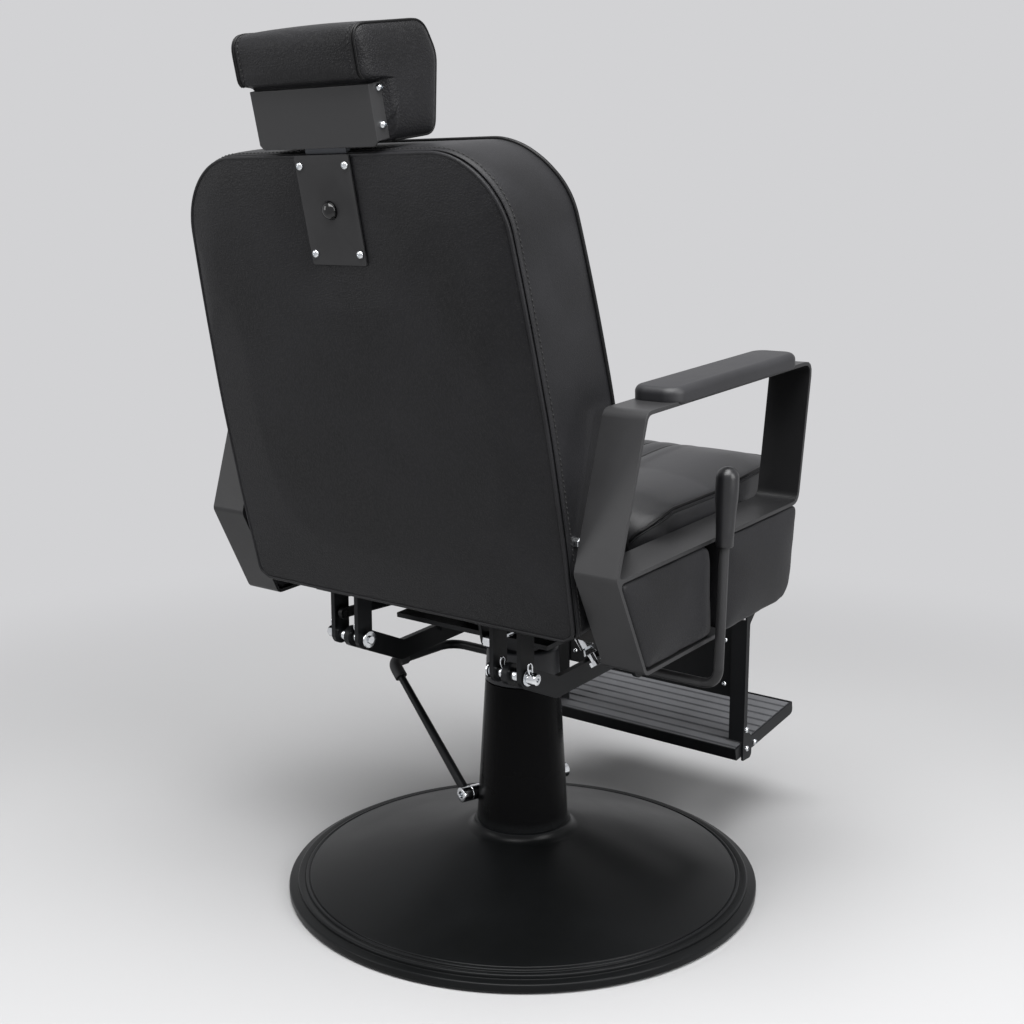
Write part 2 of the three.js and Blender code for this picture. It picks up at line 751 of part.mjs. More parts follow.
// one bar bent into a loop for the arm and a tail that carries the rear pad
function armSide(side, name) {
  const span = (near, far) => sided(side, near, far);
  const [x0, x1] = span(armInner, armInner + stripWidth);
  const [innerKnee, , , innerRear] = inset(lowerLoop, stripThickness);
  const tail = padFrontEdge + seatGap;
  const outline = [
    lowerLoop[0],
    upperLoop[1],
    upperLoop[2],
    upperLoop[3],
    innerKnee,
    innerRear,
    [tail, loopBottom + stripThickness],
    [tail, loopBottom],
    lowerLoop[3],
  ];
  const opening = inset(upperLoop, stripThickness);
  piece(`arm_frame_${name}`, plateX(outline, x0, x1, [opening]), powderCoat, seat);

  const [topRear, , , bottomRear] = inset(lowerLoop, stripThickness + seatGap);
  const base = side > 0 ? armInner : -armInner;
  const place = (y, z, out) => point(base + side * out, y, z);
  const layers = [
    [2, 0],
    [0, 2],
    [0, stripWidth - 4],
    [1.2, stripWidth - 1.2],
    [4, stripWidth],
    [14, stripWidth + 0.4 * padCrown],
    [45, stripWidth + padCrown],
  ];
  const rearPad = [
    [padRearEdge, bottomRear[1], 6],
    [bottomRear[0], bottomRear[1], 8],
    [topRear[0], topRear[1], 8],
    [padRearEdge, topRear[1], 16],
  ];
  const frontPad = [
    [loopFrontY, loopBottom, 34],
    [padFrontEdge, loopBottom, 6],
    [padFrontEdge, topRear[1], 6],
    [shelfFrontY, topRear[1], 5],
  ];
  piece(`side_pad_rear_${name}`, padded(rearPad, layers, place, 0.5), leather, seat);
  piece(`side_pad_front_${name}`, padded(frontPad, layers, place, 0.5), leather, seat);

  const [px0, px1] = span(armInner - armPadOverhang, armInner + stripWidth + armPadOverhang);
  const armPad = [
    [px0, armPadFront, 22],
    [px1, armPadFront, 22],
    [px1, armPadRear, 22],
    [px0, armPadRear, 22],
  ];
  const rest = armTop + seatGap;
  const t = armPadThickness;
  const pad = padded(armPad, [
    [1.5, rest - armPadLip],
    [0, rest],
    [0, rest + 0.6 * t],
    [3, rest + 0.85 * t],
    [9, rest + 0.97 * t],
    [20, rest + t],
  ], (x, y, z) => point(x, y, z), 0.8);
  const strip = box(x0 - seatGap, x1 + seatGap, armFrontY - 40, armRearY + 40, armTop - 40, rest);
  piece(`arm_pad_${name}`, cut(pad, strip), blackPlastic, seat);

  const boltY = 0.82 * kneeY + 0.18 * armRearY - stripThickness;
  const boltZ = 0.82 * shelfTop + 0.18 * armTop;
  const [b0, b1] = span(armInner - seatGap - 6.5, armInner - seatGap);
  piece(`frame_bolt_${name}`, crossRod(6, b0, b1, boltY, boltZ, 6), chrome, seat);
}

// ---------------------------------------------------------------- side rails and recline lever
function sideRail(side, name) {
  const [x0, x1] = sided(side, railInside, railInside + railThickness);
  const pin = pinRadius + runningGap;
  const front = linkBar([railBendY, railDrop], [railFront, railDrop], railHalfDepth, x0, x1, pin);
  const rear = linkBar([hingeY, hingeZ], [railBendY, railDrop], railHalfDepth, x0, x1, pin);
  const plug = crossRod(pin + 1, x0, x1, railBendY, railDrop);
  piece(`side_rail_${name}`, join(front, rear, plug), powderCoat, seat);

  const head = 5;
  const railOutside = railInside + railThickness;
  const bar = (radius, near, far) => crossRod(radius, ...sided(side, near, far), railFront, railDrop);
  piece(`footrest_pivot_${name}`, join(
    bar(pinRadius, railInside - head, legHalfSpan + head),
    bar(pinRadius + 3, railInside - head, railInside - seatGap),
    bar(pinRadius + 3, railOutside + seatGap, legHalfSpan - legWall - seatGap),
    bar(pinRadius + 3, legHalfSpan + seatGap, legHalfSpan + head),
  ), chrome, seat);
}

function reclineLever() {
  const lean = radians(leverLean);
  const up = point(0, Math.sin(lean), Math.cos(lean));
  const inner = point(leverInnerX, leverPivotY, leverPivotZ);
  const corner = point(leverX, leverPivotY, leverPivotZ);
  const tip = corner.clone().addScaledVector(up, gripStart + 0.55 * gripLength);
  const cam = crossRod(14, leverInnerX, leverInnerX + 4, leverPivotY, leverPivotZ, 24);
  const bar = bentBar(leverRodRadius, [inner, corner, tip], leverBend);
  piece('recline_lever_rod', join(bar, cam), powderCoat, seat);

  const bore = leverRodRadius + seatGap + 0.1;
  const grip = turned([
    [0, 0.6 * gripLength],
    [bore, 0.6 * gripLength],
    [bore, 0],
    [gripFootRadius - 1, 0],
    [gripFootRadius, 2],
    [gripFootRadius + 0.5, 0.2 * gripLength],
    [gripTopRadius - 0.5, 0.6 * gripLength],
    [gripTopRadius, 0.83 * gripLength],
    [0.85 * gripTopRadius, 0.93 * gripLength],
    [0.5 * gripTopRadius, 0.985 * gripLength],
    [0, gripLength],
  ], 16);
  const frame = new THREE.Matrix4().makeRotationX(-lean);
  frame.setPosition(corner.clone().addScaledVector(up, gripStart));
  piece('recline_lever_grip', grip.transform(frame.elements), blackPlastic, seat);

  const x0 = hangerInset - armInner;
  const x1 = x0 + 6;
  const hanger = join(
    crossRod(11, x0, x1, leverPivotY, leverPivotZ, 20),
    box(x0, x1, leverPivotY - 9, leverPivotY + 9, leverPivotZ, boardBottom - seatGap),
    box(x0 - 14, x1, leverPivotY - 14, leverPivotY + 14, boardBottom - seatGap - 4, boardBottom - seatGap),
  );
  const hole = crossRod(leverRodRadius + runningGap, x0 - 1, x1 + 1, leverPivotY, leverPivotZ);
  piece('lever_hanger', cut(hanger, hole), powderCoat, seat);
}

// a knurled screw that sets how upright the back stands
function reclineStop() {
  const y = boardRear - stopInset;
  const top = boardBottom - seatGap;
  const tilt = radians(stopTilt);
  const at = (distance) => point(stopX - distance * Math.sin(tilt), y, top - distance * Math.cos(tilt));
  const screw = join(
    rod(4, at(-8), at(stopLength), 12),
    rod(8.5, at(-8), at(0.4 * stopLength), 20),
    rod(5, at(0.4 * stopLength), at(0.62 * stopLength), 20, 8.5),
    rod(8, at(0.86 * stopLength), at(stopLength), 20),
  );
  const board = box(stopX - 30, stopX + 30, y - 30, y + 30, top, top + 30);
  piece('recline_stop_screw', cut(screw, board), chrome, seat);
}

// ---------------------------------------------------------------- back
const back = new THREE.Group();
back.position.set(0, hingeY, hingeZ);
back.rotation.x = -radians(backRake);
seat.add(back);

const backTop = backBottom + backLength;
const backOutline = [
  [-backHalfWidth, backBottom, 14],
  [backHalfWidth, backBottom, 14],
  [backHalfWidth, backBottom + 0.2 * backLength],
  [backHalfWidth, backBottom + 0.45 * backLength],
  [backHalfWidth, backBottom + 0.69 * backLength],
  [backHalfWidth, backTop, backTopCorner],
  [-backHalfWidth, backTop, backTopCorner],
  [-backHalfWidth, backBottom + 0.69 * backLength],
  [-backHalfWidth, backBottom + 0.45 * backLength],
  [-backHalfWidth, backBottom + 0.2 * backLength],
];
// the sides bow out at the middle and draw in towards the top
const bowed = (z) => lookUp(backSideBow, (z - backBottom) / backLength);
const panelFront = backRearFace - panelThickness;
const cushionRearFace = panelFront - seatGap;
const tongueRear = backRearFace - tongueSetback;
const tongueFront = tongueRear - tongueThickness;
const slotSide = buttonStem + 1.5;

function backShell() {
  const onBack = (x, z, y) => point(x * bowed(z), y, z);
  const panel = padded(backOutline, [
    [10, backRearFace],
    [2.5, backRearFace - 2.5],
    [0, backRearFace - 8],
    [0, panelFront],
  ], onBack);
  const w = tongueHalfWidth + runningGap;
  const low = backTop + tongueBottom - 3;
  const covered = backTop + plateBottom + 3;
  const open = box(-w, w, tongueFront - runningGap, backRearFace + 1, covered, backTop + 1);
  const blind = box(-w, w, tongueFront - runningGap, tongueRear + runningGap, low, covered + 1);
  piece('back_panel', cut(panel, open, blind), leather, back);

  const rings = quiltStations(backHalfWidth, 14).map(([x, shrink]) => backSection(x, shrink));
  piece('back_cushion', loft(rings), leather, back);
}

// one (y, z) ring of the back cushion, with a seam wherever two channels meet
function backSection(x, shrink) {
  const across = 1 - (x / backHalfWidth) ** 2;
  const top = backTop - cornerInset(x, backHalfWidth, backTopCorner) - 0.4 * shrink;
  const low = backBottom + cornerInset(x, backHalfWidth, 14) + 0.4 * shrink;
  const proud = backCrown * across + channelDepth * (puff(x) - 0.4) * Math.sqrt(across);
  const front = backDepths.map(([t, depth]) => {
    const z = THREE.MathUtils.lerp(low, top, t);
    const crown = proud * Math.sin(Math.PI * t);
    return point(x * bowed(z), backRearFace - depth * backDepth - crown + shrink, z);
  });
  return [
    ...front,
    point(x * bowed(top), (backRearFace + front[front.length - 1].y) / 2, top + 1),
    point(x * bowed(top), cushionRearFace, top),
    point(x * bowed(low), cushionRearFace, low),
  ];
}

// two straps hang plumb from a plate under the back, and the rail's end turns between them
function hingeBracket(side, name) {
  const span = (near, far) => sided(side, near, far);
  const web = backBottom - seatGap;
  const plumb = radians(backRake + seatTilt);
  const h = strapHalfWidth;
  const shift = web * Math.tan(plumb);
  const strap = (near, far) => {
    const [x0, x1] = span(near, far);
    const bar = plateX([[-h, 0], [h, 0], [h - shift, web], [-h - shift, web]], x0, x1);
    const eye = crossRod(h * Math.cos(plumb), x0, x1, 0, 0, 20);
    return cut(join(bar, eye), crossRod(pinRadius + 0.3, x0 - 1, x1 + 1, 0, 0));
  };
  const innerFar = strapInside + strapThickness;
  const outerNear = strapOutside - strapThickness;
  const [w0, w1] = span(strapInside - 6, strapOutside + 6);
  let bracket = join(
    strap(strapInside, innerFar),
    strap(outerNear, strapOutside),
    box(w0, w1, -h - 4 - shift, h + 4, web - bracketWeb, web),
  );
  if (side > 0) {
    const rake = radians(backRake);
    const pinY = -linkRise * Math.sin(rake);
    const pinZ = linkRise * Math.cos(rake);
    bracket = join(bracket, crossRod(linkPinRadius, linkInside - seatGap, outerNear + 1, pinY, pinZ));
  }
  piece(`hinge_bracket_${name}`, bracket, powderCoat, back);

  const railOutside = railInside + railThickness;
  const bar = (radius, near, far, sides) => crossRod(radius, ...span(near, far), 0, 0, sides);
  piece(`hinge_pin_${name}`, join(
    bar(pinRadius, pinInnerEnd + 2, pinOuterEnd - 1),
    bar(pinRadius + 5.5, pinInnerEnd, pinInnerEnd + 4, 20),
    bar(pinRadius + 2.5, pinInnerEnd + 3, strapInside - seatGap),
    bar(pinRadius + 3, innerFar + seatGap, railInside - seatGap, 16),
    bar(pinRadius + 3, railOutside + seatGap, outerNear - seatGap, 16),
    bar(pinRadius + 2.5, strapOutside + seatGap, strapOutside + 7),
    bar(pinRadius + 3.5, pinOuterEnd - 4, pinOuterEnd, 20),
  ), chrome, back);
}

function gasBracket() {
  const web = backBottom - seatGap;
  const near = gasEyeHalf + seatGap;
  const far = near + 4;
  const ear = (x0, x1) => join(
    crossRod(gasEyeRadius, x0, x1, gasRearY, gasRearZ),
    box(x0, x1, gasRearY - gasEyeRadius, gasRearY + gasEyeRadius, gasRearZ, web),
  );
  piece('gas_spring_bracket', join(
    ear(gasX - far, gasX - near),
    ear(gasX + near, gasX + far),
    crossRod(gasPinRadius, gasX - far, gasX + far, gasRearY, gasRearZ),
    box(gasX - far - 3, gasX + far + 3, gasRearY - 14, gasRearY + 14, web - bracketWeb, web),
  ), powderCoat, back);
}

// ---------------------------------------------------------------- gas spring
function gasSpring() {
  const rake = radians(backRake);
  const rear = point(
    gasX,
    hingeY + gasRearY * Math.cos(rake) + gasRearZ * Math.sin(rake),
    hingeZ - gasRearY * Math.sin(rake) + gasRearZ * Math.cos(rake),
  );
  const front = point(gasX, gasFrontY, gasFrontZ);
  const along = rear.clone().sub(front).normalize();
  const at = (distance) => front.clone().addScaledVector(along, distance);
  const reach = rear.distanceTo(front);
  const acrossEye = (radius, half, y, z) => crossRod(radius, gasX - half, gasX + half, y, z);
  const barrel = join(
    acrossEye(gasEyeRadius, gasEyeHalf, gasFrontY, gasFrontZ),
    rod(gasEyeRadius - 2, at(4), at(22), 16),
    rod(gasRadius, at(20), at(gasLength), 24),
  );
  piece('gas_spring_cylinder', cut(
    barrel,
    acrossEye(gasPinRadius + runningGap, gasEyeHalf + 1, gasFrontY, gasFrontZ),
    rod(gasRodRadius + runningGap, at(gasLength - 62), at(gasLength + 1), 16),
  ), blackPlastic, seat);
  const ramRod = join(
    rod(gasRodRadius, at(gasLength - 58), at(reach - 4), 16),
    acrossEye(gasRearEyeHole + 3.5, gasEyeHalf, rear.y, rear.z),
  );
  const eyeHole = acrossEye(gasRearEyeHole, gasEyeHalf + 1, rear.y, rear.z);
  piece('gas_spring_rod', cut(ramRod, eyeHole), chrome, seat);
}

// ---------------------------------------------------------------- headrest
const headFace = backRearFace + 4; // rear face of the headrest bracket
const headBase = backTop + headBracketBottom;
const headCap = backTop + headBracketTop;

function headrestMount() {
  const y0 = backRearFace + seatGap;
  const y1 = y0 + plateThickness;
  const buttonZ = backTop + buttonHeight;
  const plateFlat = plateY([
    [-plateHalfWidth, backTop + plateBottom, 3],
    [plateHalfWidth, backTop + plateBottom, 3],
    [plateHalfWidth, backTop, 3],
    [-plateHalfWidth, backTop, 3],
  ], y0, y1);
  const screws = [];
  for (const x of [-screwSpanX, screwSpanX]) {
    for (const z of [screwLow, screwHigh]) screws.push([x, backTop + z]);
  }
  const through = (radius, x, z) => rod(radius, point(x, y0 - 1, z), point(x, y1 + 1, z), 16);
  piece('headrest_plate', cut(
    plateFlat,
    through(buttonRadius + runningGap, 0, buttonZ),
    ...screws.map(([x, z]) => through(screwShank + seatGap, x, z)),
  ), powderCoat, back);

  screws.forEach(([x, z], i) => {
    const face = y1 + seatGap;
    piece(`plate_screw_${i + 1}`, join(
      rod(screwShank, point(x, y0, z), point(x, face + 1, z), 10),
      rod(screwRadius, point(x, face, z), point(x, face + 1.6, z), 14),
      rod(screwRadius, point(x, face + 1.6, z), point(x, face + 2.8, z), 14, 0.5 * screwRadius),
    ), chrome, back);
  });

  const disc = y0 - 1;
  const stemEnd = tongueFront + buttonTravel + seatGap;
  const domeProfile = [0, 30, 60, 90].map(radians).map((a) => [
    buttonRadius * Math.cos(a),
    0.8 * buttonRadius * Math.sin(a),
  ]);
  const button = turned([
    [0, stemEnd - y1],
    [buttonStem, stemEnd - y1],
    [buttonStem, disc - y1],
    [buttonRadius, disc - y1],
    ...domeProfile,
  ], 16);
  const frame = new THREE.Matrix4().makeRotationX(-Math.PI / 2).setPosition(0, y1, buttonZ);
  piece('release_button', button.transform(frame.elements), blackPlastic, back);
}

function headrest() {
  const low = backTop + tongueBottom;
  const buttonZ = backTop + buttonHeight;
  const stemTop = headCap - 8;
  const slot = box(
    -slotSide,
    slotSide,
    tongueFront - 1,
    tongueRear + 1,
    buttonZ - headrestTravel - buttonStem - 2,
    buttonZ + buttonStem + 2,
  );
  const face = headFace - headBracketWall - seatGap;
  const tongue = join(
    box(-tongueHalfWidth, tongueHalfWidth, tongueFront, tongueRear, low, headBase + 4),
    box(-tongueHalfWidth, tongueHalfWidth, tongueFront, face, headBase, stemTop),
  );
  piece('headrest_tongue', cut(tongue, slot), darkSteel, back);

  const w = bracketHalfWidth;
  const c = bracketChamfer;
  const back0 = headFace - headBracketWall;
  const tab0 = headFace - headBracketTab;
  const outline = [
    [-w + c, headBase],
    [w - c, headBase],
    [w, headBase + c],
    [w, headCap],
    [-w, headCap],
    [-w, headBase + c],
  ];
  piece('headrest_bracket', join(
    plateY(outline, back0, headFace),
    box(-w, -w + headBracketWall, tab0, headFace, headBase + c, headCap),
    box(w - headBracketWall, w, tab0, headFace, headBase + c, headCap),
  ), powderCoat, back);

  const profile = [
    [-76.5, headBase + 76, 34],
    [-55.5, headBase - 3, 16],
    [face, headBase + 3, 5],
    [face, headCap + 3, 3],
    [43, headCap + 8, 9],
    [43, headCap + 60, 18],
    [-63, headCap + 51, 24],
  ];
  const cushion = padded(profile, [
    [7, -headHalfWidth],
    [2.5, -headHalfWidth + 1.5],
    [0, -headHalfWidth + 7],
    [1.5, 0],
    [0, headHalfWidth - 7],
    [2.5, headHalfWidth - 1.5],
    [7, headHalfWidth],
  ], (y, z, x) => point(x, y, z));
  const clear = seatGap;
  const below = headBase - headBracketTab;
  const behind = headFace + headBracketTab;
  const tabRoom = (x0, x1) => box(x0, x1, tab0 - clear, behind, below, headCap + clear);
  const stemRoom = box(
    -tongueHalfWidth - clear,
    tongueHalfWidth + clear,
    tongueFront - clear,
    headFace,
    below,
    stemTop + clear,
  );
  piece('headrest_cushion', cut(
    cushion,
    tabRoom(w - headBracketWall - clear, headHalfWidth + 5),
    tabRoom(-headHalfWidth - 5, -w + headBracketWall + clear),
    stemRoom,
  ), leather, back);
}

// ---------------------------------------------------------------- footrest
const footrest = new THREE.Group();
footrest.position.set(0, railFront, railDrop);
footrest.rotation.x = radians(seatTilt);
seat.add(footrest);

function footrestFrame() {
  const pin = pinRadius + runningGap;
  for (const [side, name] of [[1, 'left'], [-1, 'right']]) {
    const [s0, s1] = sided(side, legHalfSpan - legWall, legHalfSpan);
    const [f0, f1] = sided(side, legHalfSpan - legFlange, legHalfSpan);
    const lug = legRear - legLugDepth;
    const edge = legRear - legDepth;
    let leg = join(
      plateX([
        [lug, legBottom, 8],
        [legRear, legBottom, 2],
        [legRear, legTop, 8],
        [lug, legTop, 8],
        [lug, -lugTaper, 6],
        [edge, -2 * lugTaper, 6],
        [edge, legBottom + trayLugHeight, 6],
        [lug, legBottom + trayLugHeight - lugTaper, 6],
      ], s0, s1),
      box(f0, f1, legRear - legWall, legRear, legBottom + trayThickness + 11, calfTop),
    );
    if (side > 0) {
      const tilt = radians(seatTilt);
      const y = linkRise * Math.sin(tilt);
      const z = linkRise * Math.cos(tilt);
      leg = join(leg, crossRod(linkPinRadius, linkInside - seatGap, legHalfSpan - 1, y, z));
    }
    piece(`footrest_leg_${name}`, cut(leg, crossRod(pin, s0 - 1, s1 + 1, 0, 0)), powderCoat, footrest);
  }

  const calfHalf = legHalfSpan - legWall - 1.5;
  const calfY = legRear - legWall - seatGap;
  piece('calf_plate', plateY([
    [-calfHalf, calfBottom, 12],
    [calfHalf, calfBottom, 12],
    [calfHalf, calfTop, 4],
    [-calfHalf, calfTop, 4],
  ], calfY - 3, calfY), powderCoat, footrest);
}

function footTray() {
  const tray = new THREE.Group();
  tray.position.set(0, legRear + trayRear, legBottom + 3);
  tray.rotation.x = -radians(trayTilt);
  footrest.add(tray);
  const half = legHalfSpan - legWall - seatGap;
  const rim = 2.5;
  const well = 6;
  const shell = plateX([
    [-trayLength, 0, 8],
    [0, 0, 3],
    [0, trayThickness + treadBase, 1],
    [-trayLength, trayThickness + treadBase, 1],
  ], -half, half);
  const bottom = trayThickness - well;
  const recess = box(-half + rim, half - rim, -trayLength + rim, -rim, bottom, bottom + 3 * well);
  piece('foot_tray', cut(shell, recess), powderCoat, tray);

  // the tread's side outline is a comb: one tooth for each rib
  const floor = bottom + seatGap;
  const low = trayThickness + treadBase - ribHeight + 1;
  const high = low + ribHeight;
  const rear = -rim - seatGap;
  const length = trayLength - 2 * (rim + seatGap);
  const ribs = Math.floor((length + ribPitch - ribWidth) / ribPitch);
  const start = rear - (length - (ribs - 1) * ribPitch - ribWidth) / 2;
  const comb = [[rear - length, floor], [rear, floor], [rear, low]];
  for (let i = 0; i < ribs; i += 1) {
    const y = start - i * ribPitch;
    comb.push([y, low], [y - 0.8, high], [y - ribWidth + 0.8, high], [y - ribWidth, low]);
  }
  comb.push([rear - length, low]);
  const x = half - rim - seatGap;
  piece('foot_tread', plateX(comb, -x, x), tread, tray);
}

function footrestLink() {
  const hole = linkPinRadius + runningGap;
  const from = [hingeY, hingeZ + linkRise];
  const to = [railFront, railDrop + linkRise];
  const link = linkBar(
    from,
    to,
    linkHalfDepth,
    linkInside,
    linkInside + linkThickness,
    hole,
    linkHalfDepth + 2,
  );
  piece('footrest_link', link, powderCoat, seat);
}

floorBase();
pumpColumn();
pumpLever();
swivelHead();
seatFrame();
seatCushion();
armSide(1, 'left');
armSide(-1, 'right');
sideRail(1, 'left');
sideRail(-1, 'right');
reclineLever();
reclineStop();
backShell();
hingeBracket(1, 'left');
hingeBracket(-1, 'right');
gasBracket();
gasSpring();
headrestMount();
headrest();
footrestFrame();
footTray();
footrestLink();

export default chair;
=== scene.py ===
import json
import math
import bmesh
import bpy
from mathutils import Matrix, Vector
from mathutils.bvhtree import BVHTree


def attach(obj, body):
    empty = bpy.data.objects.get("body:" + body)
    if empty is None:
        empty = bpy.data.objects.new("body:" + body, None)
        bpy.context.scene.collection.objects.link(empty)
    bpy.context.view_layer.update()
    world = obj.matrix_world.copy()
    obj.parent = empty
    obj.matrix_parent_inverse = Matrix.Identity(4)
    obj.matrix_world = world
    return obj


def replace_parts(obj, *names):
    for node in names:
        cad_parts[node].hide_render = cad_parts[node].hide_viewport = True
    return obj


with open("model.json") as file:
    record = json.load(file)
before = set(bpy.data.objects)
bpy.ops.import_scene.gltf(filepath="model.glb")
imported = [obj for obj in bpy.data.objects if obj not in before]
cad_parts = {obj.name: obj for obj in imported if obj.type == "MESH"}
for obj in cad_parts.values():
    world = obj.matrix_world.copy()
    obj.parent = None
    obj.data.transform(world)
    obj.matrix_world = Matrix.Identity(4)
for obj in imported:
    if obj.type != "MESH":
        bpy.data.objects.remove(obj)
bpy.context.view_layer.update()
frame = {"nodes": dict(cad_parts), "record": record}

# Hydraulic barber chair seen from behind. Lengths below are millimetres in a part's own frame,
# and each frame's matrix turns them into metres in the chair's.
nodes = frame["nodes"]
bodyOf = {node: body for body, held in frame["record"]["behaviour"]["bodies"].items() for node in held}
sides = {"left": 1, "right": -1}
print("frame loaded:", len(nodes), "nodes")

# ---- the frames that the chair's parts are drawn in
posture = {
    "seatHeight": 400,
    "seatTilt": 4,
    "hinge": (0, 187, -31),
    "backRake": 8.7,
}


def tip(degrees):
    return Matrix.Rotation(math.radians(degrees), 4, "X")


def shift(x, y, z):
    return Matrix.Translation((x, y, z))


floorFrame = Matrix.Scale(0.001, 4)
seatFrame = floorFrame @ shift(0, 0, posture["seatHeight"]) @ tip(-posture["seatTilt"])
backFrame = seatFrame @ shift(*posture["hinge"]) @ tip(-posture["backRake"])

# ---- camera
view = {
    "place": (-1.1567, 1.4799, 0.8835),
    "look": (0.6092, -0.7675, -0.1997),
    "lens": 52.71,
}
camera = bpy.data.objects.new("camera", bpy.data.cameras.new("camera"))
bpy.context.scene.collection.objects.link(camera)
camera.location = view["place"]
camera.rotation_euler = Vector(view["look"]).to_track_quat("-Z", "Y").to_euler()
camera.data.sensor_width = 36
camera.data.lens = view["lens"]
bpy.context.scene.camera = camera
bpy.context.scene.view_settings.view_transform = "Standard"


# ---- materials
def linear(code):
    channels = [int(code[i:i + 2], 16) / 255 for i in (0, 2, 4)]
    return [c / 12.92 if c <= 0.04045 else ((c + 0.055) / 1.055) ** 2.4 for c in channels] + [1]


def add(tree, kind, inputs=None, **settings):
    made = tree.nodes.new("ShaderNode" + kind)
    for name, value in settings.items():
        setattr(made, name, value)
    for name, value in (inputs or {}).items():
        if isinstance(value, bpy.types.NodeSocket):
            tree.links.new(value, made.inputs[name])
        else:
            made.inputs[name].default_value = value
    return made


def newMaterial(name, **surface):
    made = bpy.data.materials.new(name)
    made.use_nodes = True
    tree = made.node_tree
    shader = tree.nodes["Principled BSDF"]
    for socket, value in surface.items():
        shader.inputs[socket.replace("_", " ")].default_value = value
    place = add(tree, "TexCoord").outputs["Object"]
    return made, tree, shader, place


def fadeOf(tree, value, low, high, dark, light):
    # a texture's value from low to high, spread between two numbers
    ranged = add(tree, "MapRange",
                 {"Value": value, "From Min": low, "From Max": high, "To Min": dark, "To Max": light})
    return ranged.outputs["Result"]


def tonesOf(tree, factor, *stops):
    ramp = add(tree, "ValToRGB", {"Fac": factor})
    band = ramp.color_ramp
    band.elements[0].position, band.elements[0].color = stops[0][0], linear(stops[0][1])
    band.elements[1].position, band.elements[1].color = stops[-1][0], linear(stops[-1][1])
    for position, code in stops[1:-1]:
        band.elements.new(position).color = linear(code)
    return ramp.outputs["Color"]


def noise(tree, place, scale, detail, **shape):
    return add(tree, "TexNoise", {"Vector": place, "Scale": scale, "Detail": detail, **shape}).outputs["Fac"]


def joined(tree, first, second, operation="ADD"):
    return add(tree, "Math", {0: first, 1: second}, operation=operation).outputs[0]


def coated(tree, shader, colour, height, strength, depth, rough=None):
    # a shader given its colour, its relief and, where it varies, its gloss
    relief = add(tree, "Bump", {"Height": height, "Strength": strength, "Distance": depth}).outputs["Normal"]
    for socket, value in (("Base Color", colour), ("Roughness", rough), ("Normal", relief)):
        if value is not None:
            tree.links.new(value, shader.inputs[socket])


def leatherette(name, tones, grain, relief, gloss, shine=0.2):
    # PVC leather cloth: rounded pebbles parted by fine creases, slightly duller where it is rubbed
    made, tree, shader, place = newMaterial(name, Specular_IOR_Level=shine)
    drift = add(tree, "TexNoise",
                {"Vector": place, "Scale": 1000 / (3.2 * grain), "Detail": 2}).outputs["Color"]
    bent = add(tree, "Mix", {"Factor": 0.0011 * grain, 6: place, 7: drift}, data_type="RGBA",
               blend_type="ADD")
    cells = {"Vector": bent.outputs[2], "Scale": 1000 / grain}
    pebble = add(tree, "TexVoronoi", cells, feature="SMOOTH_F1").outputs["Distance"]
    crease = add(tree, "TexVoronoi", cells, feature="DISTANCE_TO_EDGE").outputs["Distance"]
    groove = fadeOf(tree, crease, 0, 0.16, 0, 1)
    domes = joined(tree, fadeOf(tree, pebble, 0.05, 0.6, 1, 0.25), groove, "MULTIPLY")
    pores = noise(tree, place, 1000 / (0.45 * grain), 3)
    height = joined(tree, domes, fadeOf(tree, pores, 0.3, 0.7, -0.12, 0.12))
    cloud = noise(tree, place, 9, 4)
    # the tone varies at random, and the creases between pebbles are darkened as painted shade
    toneAndCreaseShade = joined(tree, fadeOf(tree, cloud, 0.35, 0.65, 0.25, 0.75), fadeOf(tree, groove, 0, 1, -0.22, 0))
    colour = tonesOf(tree, toneAndCreaseShade, (0, tones[0]), (0.5, tones[1]), (1, tones[2]))
    rough = fadeOf(tree, cloud, 0.3, 0.7, gloss - 0.05, gloss + 0.06)
    coated(tree, shader, colour, height, relief, 0.00016 * grain, rough)
    return made


def powderCoat(name, tones, gloss, metal=0, shine=0.3):
    # baked polyester powder: a fine orange-peel skin, with a lighter, greyer tone on convex edges
    made, tree, shader, place = newMaterial(name, Metallic=metal, Specular_IOR_Level=shine)
    peel = noise(tree, place, 1000 / 1.3, 2, Roughness=0.4)
    cloud = noise(tree, place, 7, 5)
    convexEdgeTone = fadeOf(tree, add(tree, "NewGeometry").outputs["Pointiness"], 0.5, 0.6, 0, 1)
    tone = joined(tree, fadeOf(tree, cloud, 0.3, 0.7, 0.1, 0.6), convexEdgeTone)
    colour = tonesOf(tree, tone, (0, tones[0]), (0.6, tones[1]), (1, tones[2]))
    rough = fadeOf(tree, cloud, 0.3, 0.7, gloss - 0.04, gloss + 0.05)
    coated(tree, shader, colour, peel, 0.25, 0.00012, rough)
    return made


def chromePlate(name, tones, gloss):
    # decorative chrome over nickel: near mirror, hair-fine polishing marks and a few dull fingerprints
    made, tree, shader, place = newMaterial(name, Metallic=1)
    marks = noise(tree, place, 1000 / 0.8, 3)
    prints = noise(tree, place, 60, 3)
    colour = tonesOf(tree, prints, (0.3, tones[0]), (0.7, tones[1]))
    coated(tree, shader, colour, marks, 0.06, 0.00005, fadeOf(tree, prints, 0.3, 0.75, gloss, gloss + 0.1))
    return made


def mouldedPlastic(name, tones, gloss, grain, relief):
    # injection-moulded or self-skinned plastic: a fine spark-eroded grain, smoother where hands rub it
    made, tree, shader, place = newMaterial(name)
    stipple = add(tree, "TexVoronoi", {"Vector": place, "Scale": 1000 / grain}).outputs["Distance"]
    cloud = noise(tree, place, 14, 4)
    colour = tonesOf(tree, cloud, (0.3, tones[0]), (0.7, tones[1]))
    rough = fadeOf(tree, cloud, 0.3, 0.7, gloss - 0.05, gloss + 0.06)
    coated(tree, shader, colour, stipple, relief, 0.0001, rough)
    return made


